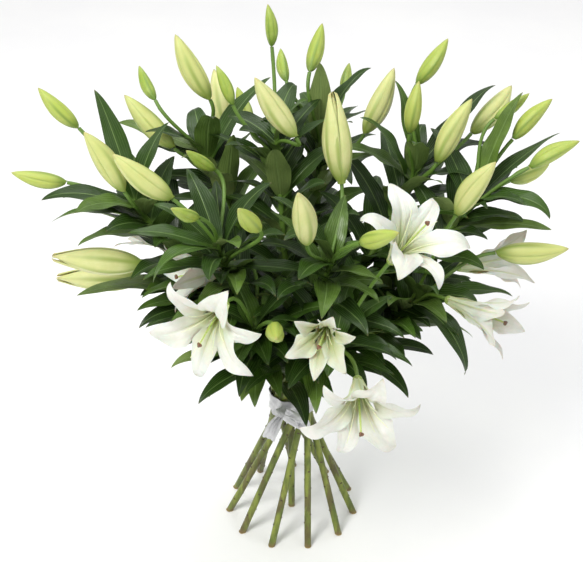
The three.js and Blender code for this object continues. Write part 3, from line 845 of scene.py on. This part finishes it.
TEPAL_SHARE = 0.6  # of its distance from the axis, the most its half width may be
PISTIL_LENGTH = 92 * MM
PISTIL_SHARE = 0.85  # of a tepal, the most its pistil may be
STIGMA_LENGTH = 5 * MM
FILAMENT_SHARE = 0.62  # of a tepal
FILAMENT_THICKNESS = 0.85 * MM
FILAMENT_FOOT = 2.8 * MM  # radius of the ring that they stand on
FILAMENT_HEIGHT = 5 * MM


def blade_width(t):
    """Nought at both ends of a blade and one across its widest place."""
    return sin(pi * min(1, max(0, t)) ** 0.85) ** 0.8


def tip_roll(t):
    """Nought until near the end of a blade, and one at its tip."""
    return max(0, (t - 0.72) / 0.28) ** 2


def tepal_line(form, curl):
    """How far a tepal is from the axis and along it, and its angle, at each step."""
    line = [(5 * MM, 2 * MM, TEPAL_START)]
    stride = form["tepal"] * MM / TEPAL_ALONG
    for i in range(1, TEPAL_ALONG + 1):
        t = i / TEPAL_ALONG
        out, up, last = line[-1]
        angle = TEPAL_START + (form["tip"] - TEPAL_START) * t ** form["bend"] + curl * tip_roll(t)
        middle = radians((angle + last) / 2)
        line.append((out + sin(middle) * stride, up + cos(middle) * stride, angle))
    return line


def petal_finish():
    """White, thin and a little translucent, green-yellow in the throat, finely ribbed."""
    skin = Skin("petal_white", 0.5, Subsurface_Weight=0.22, Subsurface_Scale=0.004,
                Sheen_Weight=0.12, Sheen_Roughness=0.5)
    where = skin.first("ShaderNodeUVMap")
    across, along, _ = skin.put("ShaderNodeSeparateXYZ", {0: where}).outputs
    away = skin.maths("ABSOLUTE", skin.times(skin.less(across, 0.5), 2.0))
    skin.speckle(30.0, "dddfd3", "ebebe3")
    white = skin.colour
    throat = skin.span(along, skin.attribute("tint"), 0.04)
    skin.lay(skin.times(throat, skin.span(away, 1.7, 0.0)), 0.95, "a8bd34")
    skin.lay(skin.times(skin.span(away, 0.12, 0.0), skin.span(along, 0.82, 0.25)), 0.55, "a9b857")
    inside = skin.colour
    skin.colour = white
    skin.lay(skin.span(along, 0.55, 0.05), 0.7, "d3dc9b")
    skin.lay(skin.times(skin.span(away, 0.2, 0.02), skin.span(along, 1.0, 0.5)), 0.6, "b4c377")
    skin.colour = skin.blend(skin.attribute("upper"), skin.colour, inside)
    skin.lay(skin.span(along, 0.95, 1.0), 0.5, "c3b98a")
    ribs = skin.mottle(1.0, 0.25, 0.75, skin.stretched(where, 34.0, 2.2, 1.0))
    return skin.done(ribs, 0.6, 0.0012, skin.between(ribs, 0.42, 0.6))


def flower_part_finish(name, low, high, roughness):
    return grain_finish(name, roughness, 420.0, low, high, (0.3, 0.0003),
                        Coat_Weight=0.2, Coat_Roughness=0.3)


def filament_tree():
    """A ring of thin curved filaments round +Z, each a little unlike the next."""
    nodes, given, result = new_group(
        "filament_ring", "GeometryNodeTree",
        "Count:Int, Length:Float, Spread:Float, Thickness:Float, Foot:Float, Seed:Int, Finish:Material",
        "Geometry:Geometry")
    length = given["Length"]
    spread = given["Spread"]
    line = nodes.first("GeometryNodeCurvePrimitiveBezierSegment", {
        "Resolution": 14,
        "Start": (0.0, 0.0, 0.0),
        "Start Handle": nodes.vector(X=nodes.times(spread, 0.12), Z=nodes.times(length, 0.5)),
        "End Handle": nodes.vector(X=nodes.times(spread, 0.6), Z=nodes.times(length, 0.82)),
        "End": nodes.vector(X=spread, Z=length),
    }, mode="POSITION")
    along = nodes.first("GeometryNodeSplineParameter")
    taper = nodes.times(nodes.less(1.0, nodes.times(along, 0.5)), given["Thickness"])
    thread = nodes.tube(line, 7, taper)
    feet = nodes.first("GeometryNodeMeshCircle", {"Vertices": given["Count"], "Radius": given["Foot"]})

    def stray(low, high, seed):
        node = nodes.put("FunctionNodeRandomValue", {2: low, 3: high, "Seed": seed}, data_type="FLOAT")
        return node.outputs[1]

    step = nodes.maths("DIVIDE", 2 * pi, given["Count"])
    turn = nodes.times(nodes.first("GeometryNodeInputIndex"), step)
    turn = nodes.maths("ADD", turn, stray(-0.22, 0.22, given["Seed"]))
    ring = nodes.copies(feet, thread, Rotation=nodes.vector(Z=turn), Scale=stray(0.88, 1.06, 7))
    return nodes.grown(ring, given["Finish"], result)


petal_white = petal_finish()
receptacle_green = flower_part_finish("receptacle_green", "88a048", "a9bd66", 0.45)
filament_pale = flower_part_finish("filament_pale", "dfe6b4", "eef0d2", 0.45)
pistil_green = flower_part_finish("pistil_green", "a9bf5e", "c4d384", 0.4)
stigma_brown = flower_part_finish("stigma_brown", "5a3826", "845c3c", 0.35)
filament_ring = filament_tree()


def tepal_place(base, way, form, line, bearing, inner, chance):
    """place(u, v) on one tepal of a flower."""
    side, front = axes_across(way)
    waves = chance.uniform(1.6, 2.4)
    phase = (chance.uniform(0, 6), chance.uniform(0, 6))
    ruffle = INNER_RUFFLE if inner else OUTER_RUFFLE
    twist = radians(chance.uniform(-17, 17))
    widest = form["half"] * MM * (1 if inner else OUTER_WIDTH)
    behind = 0 if inner else OUTER_BEHIND

    def place(u, v):
        out_by, up_by, angle = line[round(v * TEPAL_ALONG)]
        out = swung(side, front, bearing + twist * v * 0.5)
        along = swung(way, out, radians(angle))
        across = way.cross(out)
        inward = along.cross(across)
        flat = swung(across, inward, twist * v)
        half = widest * max(blade_width(0.05 + 0.95 * v), 0.26 * (1 - v))
        half = min(half, TEPAL_SHARE * out_by + 1.5 * MM * v)
        gutter = mix(0.62, 0.1, min(1, v * 1.3)) * (hypot(u, 0.18) - 0.18)
        crease = (0.07 * ridge(abs(u) - 0.3, 0.12) - 0.12 * ridge(u, 0.1)) * (1 - v**2)
        wave = ruffle * abs(u) ** 2.4 * sin(pi * v) ** 0.8
        wave *= sin(2 * pi * waves * v + phase[0 if u > 0 else 1])
        settle = -behind * min(1, v * 6) * (1 - 0.3 * v)
        lift = half * (gutter + crease) + wave + settle
        nick = sin(2 * pi * 3.1 * v + phase[1] * (1 if u > 0 else 2))
        edge = 1 + 0.035 * nick * sin(pi * v)
        return base + out * out_by + way * up_by + flat * (u * half * edge) + inward * lift

    return place


def tepal_depth(u, v):
    return TEPAL_DEPTH * (1 + 0.9 * ridge(u, 0.16) * (1 - v)) * (1 - 0.5 * abs(u))


def round_part(bloom, low, high, bow, around, along, radius_at, lobes=0.0):
    """A round part on a flower's axis, from one height to another, bowed to one side."""
    way = bloom["way"]
    side, front = axes_across(way)

    def place(turn, v):
        wide = radius_at(v) * (1 + lobes * cos(3 * turn))
        rise = mix(low, high, v)
        aside = side * (bow * (rise / PISTIL_LENGTH) ** 2)
        return bloom["base"] + way * rise + aside + swung(side, front, turn) * wide

    return round_growth(place, turn_share, around, along, 0.5)


for bloom, form in heads_of(BLOOMS):
    node = next_name(form["node"])
    chance = random.Random(node)
    base = bloom["base"]
    way = bloom["way"]
    length = form["tepal"] * MM
    tepals = Growth()
    for n in range(6):
        inner = n % 2 == 1
        curl = form["curl"] * chance.uniform(0.4, 1.5) * (0.8 if inner else 1.1)
        bearing = radians(60 * n + 15 + chance.uniform(-6, 6))
        place = tepal_place(base, way, form, tepal_line(form, curl), bearing, inner, chance)
        tepals.add_blade(place, tepal_depth, TEPAL_ACROSS, TEPAL_ALONG,
                         form["throat"] + 0.1 * chance.random())
    head_growths.append(tepals)
    piece = tepals.piece(f"lily_{node}_tepals", petal_white)
    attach(piece, "root")
    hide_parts(node)

    bow = chance.uniform(-7, 7) * MM
    top = min(PISTIL_LENGTH, length * PISTIL_SHARE)
    receptacle = round_part(bloom, -1.5 * MM, 9 * MM, 0, 20, 10,
                            lambda v: 6.4 * MM * sin(pi * (0.12 + 0.8 * v)) ** 0.6)
    piece = receptacle.piece(f"lily_{node}_receptacle", receptacle_green)
    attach(piece, "root")
    pistil = round_part(bloom, 4 * MM, top - 2 * MM, bow, 10, 20, lambda v: mix(1.7, 1.15, v) * MM)
    piece = pistil.piece(f"lily_{node}_pistil", pistil_green)
    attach(piece, "root")
    stigma = round_part(bloom, top - STIGMA_LENGTH, top, bow, 24, 8,
                        lambda v: 3.1 * MM * sin(pi * (0.1 + 0.8 * v)) ** 0.5, lobes=0.22)
    piece = stigma.piece(f"lily_{node}_stigma", stigma_brown)
    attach(piece, "root")

    holder = in_scene("filament_holder", bpy.data.meshes.new("filament_holder"))
    filaments = grown(holder, filament_ring, f"lily_{node}_filaments", count=6,
                      length=length * FILAMENT_SHARE, spread=length * form["spread"],
                      thickness=FILAMENT_THICKNESS, foot=FILAMENT_FOOT,
                      seed=counts[form["node"]], finish=filament_pale)
    stand = Matrix((*axes_across(way), way)).transposed().to_4x4()
    stand.translation = base + way * FILAMENT_HEIGHT
    filaments.data.transform(stand)
    filaments.data.polygons.foreach_set("use_smooth", [True] * len(filaments.data.polygons))
    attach(filaments, "root")

# ------------------------------------------------------------------- the leaves
# Long glossy blades, dark green over and paler under, with lines of parallel veins.
# A leaf is a gutter along its midrib, its margins wave, and it arches over to a fine
# tip. The leaves of a stem turn by the golden angle from one to the next. Those low
# in the bunch are longest, and a leaf that would run into a flower swings aside.

LEAF_LENGTH = 138
LEAF_TOP_LENGTH = 104
LEAF_HALF_WIDTH = 16.5 * MM
LEAF_DEPTH = 0.35 * MM
LEAF_FOLD = 0.34
LEAF_WAVE = 2.3 * MM
LEAVES_PER_STEM = 7
FILLERS_PER_STEM = 24
FILLER_START = 0.18  # share of the stem under the first filler
FILLER_END = 1.03
FILLER_LENGTHS = (0.8, 1.25)  # of the leaf that would grow there
LEAF_START_HEIGHT = 60 * MM
LEAF_LAST = 0.97
LEAF_SPREAD = 0.78
STEM_PHASE = 47
LEAF_ALONG = 32
LEAF_ACROSS = 10
COARSE_ALONG = 12  # rows of the rough leaf that is tried against the flowers
LEAF_LAG = 0.125  # of its length: a blade leaves nearly straight before it arches


def vein_group():
    """Parallel lines along a blade, which crowd together towards its margins."""
    nodes, given, result = new_group(
        "parallel_veins", "ShaderNodeTree",
        "UV:Vector, Count:Float, Sharpness:Float", "Lines:Float, From Midrib:Float, Along:Float")
    across, along, _ = nodes.put("ShaderNodeSeparateXYZ", {0: given["UV"]}).outputs
    away = nodes.times(nodes.maths("ABSOLUTE", nodes.less(across, 0.5)), 2.0)
    wander = nodes.first("ShaderNodeTexNoise", {"Vector": given["UV"], "Scale": 3.0, "Detail": 1.0})
    lane = nodes.times(nodes.maths("ADD", away, nodes.times(wander, 0.06)), given["Count"])
    wave = nodes.maths("ABSOLUTE", nodes.maths("SINE", nodes.times(lane, pi)))
    lines = nodes.maths("POWER", nodes.less(1.0, wave), given["Sharpness"])
    for label, value in (("Lines", lines), ("From Midrib", away), ("Along", along)):
        nodes.tree.links.new(value, result.inputs[label])
    return nodes.tree


def leaf_finish():
    skin = Skin("leaf_green", 0.36, Coat_Weight=0.14, Coat_Roughness=0.16, Specular_IOR_Level=0.36)
    lines, from_midrib, along = skin.shared(
        vein_group(), UV=skin.first("ShaderNodeUVMap"), Count=5.0, Sharpness=3.0)
    tint = skin.attribute("tint")
    upper = skin.attribute("upper")
    skin.colour = skin.ramp(tint, (0.0, "192f07"), (0.35, "29440d"), (0.6, "3f5f18"),
                            (0.85, "627d33"), (1.0, "90a05f"))
    skin.lay(skin.mottle(38.0), 0.4, "1d3508")
    under = skin.ramp(tint, (0.0, "4f6d26"), (1.0, "8a9d5c"))
    skin.colour = skin.blend(upper, under, skin.colour)
    skin.lay(skin.span(along, 0.12, 0.0), 0.6, "7a9a48")
    skin.lay(lines, 0.28, "6f9150")
    midrib = skin.span(from_midrib, 0.09, 0.015)
    skin.lay(midrib, 0.5, "86a35f")
    skin.lay(skin.span(along, 0.965, 1.0), 0.5, "7a6a3a")
    gloss = skin.between(skin.mottle(60.0), 0.3, 0.44)
    dull = skin.times(skin.less(1.0, upper), 0.2)
    ridges = skin.less(lines, skin.times(midrib, 1.5))
    return skin.done(ridges, 0.55, 0.0009, skin.maths("ADD", gloss, dull))


def wrapped(angle):
    return (angle + 180) % 360 - 180


def leaf_plan(shoot, stem_number, k):
    """Where leaf k leaves, which way it goes and how far it arches over."""
    turn = GOLDEN_ANGLE * k + STEM_PHASE * stem_number
    sway = 16 * sin(radians(3 * turn))
    last = LEAVES_PER_STEM - 1
    if last - len(shoot["leaves"]) < k <= last:
        shown = shoot["leaves"][last - k]
        bearing, rise = shown["course"]
        return {"root": bezier(shoot["curve"], shown["up"]), "bearing": bearing, "rise": rise,
                "droop": shown["droop"], "length": shown["length"], "sway": sway / 2}
    up = (k - last - 0.5) / FILLERS_PER_STEM
    share = k / last if k <= last else mix(FILLER_START, FILLER_END, up**0.68)
    first = LEAF_START_HEIGHT / shoot["reach"]
    root = bezier(shoot["curve"], mix(first, LEAF_LAST, share))
    outwards = degrees(atan2(root.y - TIE.y, root.x - TIE.x))
    turn = LEAF_SPREAD * wrapped(turn)
    return {"root": root, "bearing": outwards + turn,
            "rise": 44 - 26 * cos(radians(turn)) + 8 * share,
            "droop": 58 - 14 * share, "length": mix(LEAF_LENGTH, LEAF_TOP_LENGTH, share), "sway": sway}


def leaf_surface(plan, chance, steps):
    """place(u, v) on a leaf's middle surface."""
    curl = chance.uniform(0, 46)
    twist = radians(chance.uniform(-32, 32))
    waves = chance.uniform(1.5, 2.6)
    phases = (chance.uniform(0, 6), chance.uniform(0, 6))
    wide = LEAF_HALF_WIDTH * chance.uniform(0.9, 1.1)
    midrib = [plan["root"]]
    ways = []
    for i in range(steps + 1):
        t = max(0, i / steps - LEAF_LAG)
        drop = plan["droop"] * t**1.4 + curl * tip_roll(i / steps)
        ways.append(heading(plan["bearing"] + plan["sway"] * t, plan["rise"] - drop))
        midrib.append(midrib[-1] + ways[-1] * (plan["length"] * MM / steps))

    def place(u, v):
        step = round(v * steps)
        across, lift_way = axes_across(ways[step])
        roll = twist * v**1.5
        rise = lift_way * cos(roll) - across * sin(roll)
        half = wide * max(blade_width(0.06 + 0.94 * v), 0.22 * (1 - v))
        gutter = LEAF_FOLD * (1 - 0.5 * v) * (hypot(u, 0.12) - 0.12) * half
        wave = LEAF_WAVE * u * u * sin(pi * v) * sin(
            2 * pi * waves * v + phases[u > 0])
        return midrib[step] + swung(across, lift_way, roll) * (u * half) + rise * (gutter + wave)

    return place


def all_growths_tree(growths):
    points = []
    faces = []
    for growth in growths:
        first = len(points)
        points += growth.points
        faces += [tuple(first + corner for corner in face) for face in growth.faces]
    return BVHTree.FromPolygons(points, faces)


def clashes(plan, seed, obstacles):
    """How much of a coarse copy of the leaf runs through the flowers and buds."""
    place = leaf_surface(plan, random.Random(seed), COARSE_ALONG)
    points = [place(u, j / COARSE_ALONG) for j in range(1, COARSE_ALONG + 1) for u in (-1, 0, 1)]
    corners = [3 * j + i for j in range(COARSE_ALONG - 1) for i in range(2)]
    faces = [(corner, corner + 1, corner + 4, corner + 3) for corner in corners]
    return len(BVHTree.FromPolygons(points, faces).overlap(obstacles))


def bow_room():
    """The space before the bow, which the florist keeps clear of leaves."""
    way = heading(-90, 33)
    side, front = axes_across(way)

    def place(turn, v):
        reach = 34 * MM * min(1, 10 * v * (1 - v))
        return TIE + way * mix(0.03, 0.24, v) + swung(side, front, turn) * reach

    return round_growth(place, turn_share, 24, 12, 0.5)


# How far a leaf is swung and lifted, in degrees, until it runs into nothing.
SWINGS = [(0, 0), (9, 0), (-9, 0), (0, 9), (0, -9)]
for swing, lift in ((18, 4), (14, -12), (28, 8), (36, -6), (48, 20), (64, 0), (90, 10), (20, 30),
                    (120, 20)):
    SWINGS += [(swing, lift), (-swing, lift)]
SWINGS.append((180, 0))

leaf_green = leaf_finish()
heads_tree = all_growths_tree(head_growths + [bow_room()])
for number, shoot in enumerate(STEMS):
    leaves = Growth()
    for k in range(LEAVES_PER_STEM + FILLERS_PER_STEM):
        plan = leaf_plan(shoot, number, k)
        seed = f"leaf {number} {k}"
        if k >= LEAVES_PER_STEM:
            plan["length"] *= random.Random("length of " + seed).uniform(*FILLER_LENGTHS)
        tries = []
        for bearing, rise in SWINGS:
            swung_plan = dict(plan, bearing=plan["bearing"] + bearing, rise=plan["rise"] + rise)
            tries.append((clashes(swung_plan, seed, heads_tree), len(tries), swung_plan))
            if not tries[-1][0]:
                break
        hits, _, best = min(tries, key=lambda tried: tried[:2])
        if k >= LEAVES_PER_STEM and hits:
            continue
        chance = random.Random(seed)
        place = leaf_surface(best, chance, LEAF_ALONG)
        leaves.add_blade(place, lambda u, v: LEAF_DEPTH * (1 - 0.4 * v), LEAF_ACROSS, LEAF_ALONG,
                         chance.betavariate(1.3, 1.7))
    piece = leaves.piece(f"lily_stem_{number + 1:02d}_leaves", leaf_green)
    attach(piece, "root")

# ------------------------------------------------------------------- the ribbon
# Silver-grey satin ribbon: a band wound once and a little more round the stems, a
# short knot of it pulled into creases, a flattened loop at one side and a cut tail
# that hangs down. All four are lengths of one ribbon, gathered at the knot.

SATIN_DEPTH = 0.22 * MM
RIBBON_WIDTH = 30 * MM
BAND_OVERLAP = 26 * MM
BAND_STANDOFF = 1.9 * MM
LOOP_LENGTH = 36 * MM
LOOP_WIDTH = 24 * MM
TAIL_LENGTH = 46 * MM
TAIL_WIDTH = 20 * MM
KNOT_RADIUS = 8 * MM
KNOT_WIDTH = 17 * MM
GATHERED = 0.45  # of its width, how wide a strip is where it leaves the knot
PLEAT_HEIGHT = 2.6 * MM
STRIP_ACROSS = 16
STRIP_ALONG = 40
BOW_BEARING = -112

knot_corners = [Vector(corner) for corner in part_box("ribbon_knot")]
knot_middle = (knot_corners[0] + knot_corners[1]) / 2
bow_out = heading(BOW_BEARING, 0)
bow_side = level_across(bow_out)


def satin_finish():
    """Fine ribbed satin with a soft, stretched shine and faint handling crumples in its relief; the
    same patches paint shade and highlight into the grey, darker and lighter where the folds would be
    shaded and lit.
    """
    skin = Skin("silver_satin", 0.3, Sheen_Weight=0.3, Sheen_Roughness=0.35, Anisotropic=0.5,
                Specular_IOR_Level=0.8, Metallic=0.4)
    threads = skin.stretched(skin.first("ShaderNodeUVMap"), 260.0, 12.0, 1.0)
    weave = skin.mottle(1.0, 0.2, 0.8, threads)
    # painted shade and highlight: these crumple patches make the grey darker and lighter, standing in
    # for the light on the folds, and also give the relief
    crease_shade_and_relief = skin.mottle(55.0, 0.3, 0.7)
    skin.colour = skin.blend(crease_shade_and_relief, dye("bcbcbf"), dye("dadadc"))
    skin.lay(weave, 0.25, "a3a3a6")
    folds = skin.maths("ADD", crease_shade_and_relief, skin.times(weave, 0.1))
    return skin.done(folds, 0.5, 0.0016, skin.between(weave, 0.26, 0.42))


def band_reach(height):
    """From the axis to the outside of the crossing stems, at a height from the binding."""
    swing = hypot(waist_radius, height * tan(radians(STEM_LEAN)))
    return swing + STEM_RADIUS / cos(radians(STEM_LEAN)) + BAND_STANDOFF


satin = satin_finish()
band_round = 2 * pi * band_reach(0)
band_turns = (band_round + BAND_OVERLAP) / band_round


def band_place(u, v):
    height = u * RIBBON_WIDTH / 2 * (1 + 0.05 * sin(9 * v))
    turn = radians(BOW_BEARING) + 2 * pi * band_turns * (v - 0.5) + pi
    swing = atan2(height * tan(radians(STEM_LEAN)), waist_radius)
    slot = radians(FIRST_SLOT - 90)
    lobes = 0.7 * MM * cos(ring_count * (turn - slot - swing))
    folds = 1.1 * MM * sin(41 * v + 3.4 * u) * sin(13.3 * v - 2.1 * u + 1)
    pinch = -1.6 * MM * ridge(v - 0.5, 0.045) * abs(u) ** 2
    reach = band_reach(height) + lobes + folds + pinch + 1.3 * MM * v
    return TIE + Vector((cos(turn), sin(turn), 0)) * reach + UP * height


def knot_place(u, v):
    """The knot is a strip round the crossing, drawn in at its two sides."""
    turn = 2 * pi * 1.08 * v
    drawn = 1 - 0.5 * abs(u) ** 1.6
    pleat = 1 + 0.17 * sin(7 * u * pi + 1.5 * sin(turn)) * (1 - 0.4 * abs(u))
    lump = 1 + 0.1 * sin(3 * turn + 2 * u)
    r = (KNOT_RADIUS - 1.2 * MM + 0.6 * MM * v) * drawn * pleat * lump
    flat = bow_out * cos(turn) * r * 0.95 + UP * sin(turn) * r
    return knot_middle + bow_side * (u * KNOT_WIDTH / 2) + flat


def strip_place(start, length, width, course, pleats, phase):
    """place(u, v) on a strip that follows a course and is gathered where it starts."""
    line = [start]
    for i in range(STRIP_ALONG):
        line.append(line[-1] + course(i / STRIP_ALONG) * (length / STRIP_ALONG))

    def place(u, v):
        along = course(v)
        across = along.cross(bow_out).normalized()
        out = across.cross(along)
        spread = mix(GATHERED, 1, min(1, 2 * v))
        pleat = PLEAT_HEIGHT * (1 - 0.7 * v) * sin(pleats * pi * u + phase)
        pleat += 0.8 * MM * sin(5 * v + 3 * u)
        return line[round(v * STRIP_ALONG)] + across * (u * width / 2 * spread) + out * pleat

    return place


def loop_course(t):
    """Out to one side, round the bight, and back under itself."""
    if t < 0.45:
        way = bow_side + UP * (0.45 - 1.4 * t) + bow_out * 0.45
    elif t < 0.6:
        swing = pi * (t - 0.45) / 0.15
        way = (bow_side - UP * 0.2) * cos(swing) - (UP + bow_out * 0.35) * sin(swing)
    else:
        way = -bow_side + UP * (0.15 + 0.5 * (t - 0.6)) - bow_out * 0.2
    return way.normalized()


def tail_course(t):
    way = bow_side * (0.3 * t - 0.55) - UP + bow_out * (0.5 - 0.5 * t)
    return way.normalized()


def ribbon_piece(name, node, place, across, along):
    growth = Growth()
    growth.add_blade(place, lambda u, v: SATIN_DEPTH, across, along, 0.5, pointed=False)
    piece = growth.piece(name, satin)
    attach(piece, "root")
    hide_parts(node)


beside_knot = KNOT_RADIUS * 0.6
ribbon_piece("satin_band", "ribbon_band", band_place, 16, 160)
ribbon_piece("satin_knot", "ribbon_knot", knot_place, 28, 56)
ribbon_piece("satin_loop", "ribbon_loop",
             strip_place(knot_middle + bow_side * beside_knot, 2 * LOOP_LENGTH, LOOP_WIDTH,
                         loop_course, 3, 0.4),
             STRIP_ACROSS, STRIP_ALONG)
ribbon_piece("satin_tail", "ribbon_tail",
             strip_place(knot_middle - UP * beside_knot, TAIL_LENGTH, TAIL_WIDTH, tail_course, 3, 1.3),
             STRIP_ACROSS, STRIP_ALONG)

# --------------------------------------------------------- the cut ends of the stems
# The end grain of each stem, a thin browned disc under the skin, level with the
# floor that the bunch stands on.

cut_grain = grain_finish("cut_end", 0.8, 900.0, "8c7446", "c2b077", (0.5, 0.0004))
for number, shoot in enumerate(STEMS, start=1):
    stretch = 1 / shoot["line"].z  # a level cut through a leaning stem is longer than it is wide
    long_way = Vector((shoot["line"].x, shoot["line"].y, 0))
    long_way = long_way.normalized() if long_way.length > 1e-6 else Vector((1, 0, 0))
    cross_way = UP.cross(long_way)

    def place(turn, v):
        r = (STEM_RADIUS + 0.15 * MM) * min(1, 6 * sin(pi * v))
        r *= 1 + 0.04 * sin(5 * turn + shoot["foot"].x * 400)
        flat = long_way * (cos(turn) * r * stretch) + cross_way * (sin(turn) * r)
        return shoot["foot"] + flat + UP * (CUT_DEPTH * v)

    disc = round_growth(place, turn_share, 28, 8, 0.5)
    piece = disc.piece(f"cut_end_{number:02d}", cut_grain)
    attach(piece, "root")

# ------------------------------------------------------------------- the studio
# A plain pale sweep, a large soft light over the bunch and to the left of it, a
# weaker one opposite, and a camera that looks down on the bunch from the front.


FLOOR_HALF = 9.0
FLOOR_DROP = 0.5 * MM  # under the cut ends, so that no two faces lie together
CAMERA_RISE = 33
CAMERA_DISTANCE = 2.2
CAMERA_LENS = 97
TARGET_HEIGHT = 0.412
ROOM_LIGHT = 0.5

floor_mesh = bpy.data.meshes.new("studio_floor")
floor_mesh.from_pydata(
    [(x, y, -FLOOR_DROP) for x, y in ((-1, -1), (1, -1), (1, 1), (-1, 1))], [], [(0, 1, 2, 3)])
floor_mesh.transform(Matrix.Diagonal((FLOOR_HALF, FLOOR_HALF, 1, 1)))
floor_mesh.materials.append(grain_finish("pale_floor", 0.9, 3.0, "fafafb", "fdfdfd"))
floor = in_scene("studio_floor", floor_mesh)


def aimed(name, data, place, target):
    """A new light or camera at a place, turned to a target."""
    made = in_scene(name, data)
    made.location = place
    made.rotation_euler = (Vector(target) - Vector(place)).to_track_quat("-Z", "Y").to_euler()
    return made


def soft_light(name, place, target, size, power, colour):
    light = bpy.data.lights.new(name, "AREA")
    light.shape = "SQUARE"
    light.size = size
    light.energy = power
    light.color = colour
    aimed(name, light, place, target)


soft_light("key_light", (-1.3, -1.5, 2.6), (0, 0, 0.3), 1.1, 66, (1.0, 0.99, 0.965))
soft_light("fill_light", (2.2, -1.6, 1.6), (0, 0, 0.35), 2.0, 14, (0.98, 0.99, 1.0))
soft_light("top_light", (0.2, 0.8, 3.0), (0, 0, 0.3), 2.4, 45, (1.0, 1.0, 1.0))

world = bpy.data.worlds.new("pale_room")
world.use_nodes = True
sky = world.node_tree.nodes["Background"]
sky.inputs["Color"].default_value = (1.0, 1.0, 1.0, 1.0)
sky.inputs["Strength"].default_value = ROOM_LIGHT
bpy.context.scene.world = world
bpy.context.scene.view_settings.view_transform = "Standard"

camera = bpy.data.cameras.new("camera")
camera.lens = CAMERA_LENS
camera.sensor_width = 36
target = Vector((TIE.x, TIE.y, TARGET_HEIGHT))
eye = target + heading(-90, CAMERA_RISE) * CAMERA_DISTANCE
bpy.context.scene.camera = aimed("camera", camera, eye, target)
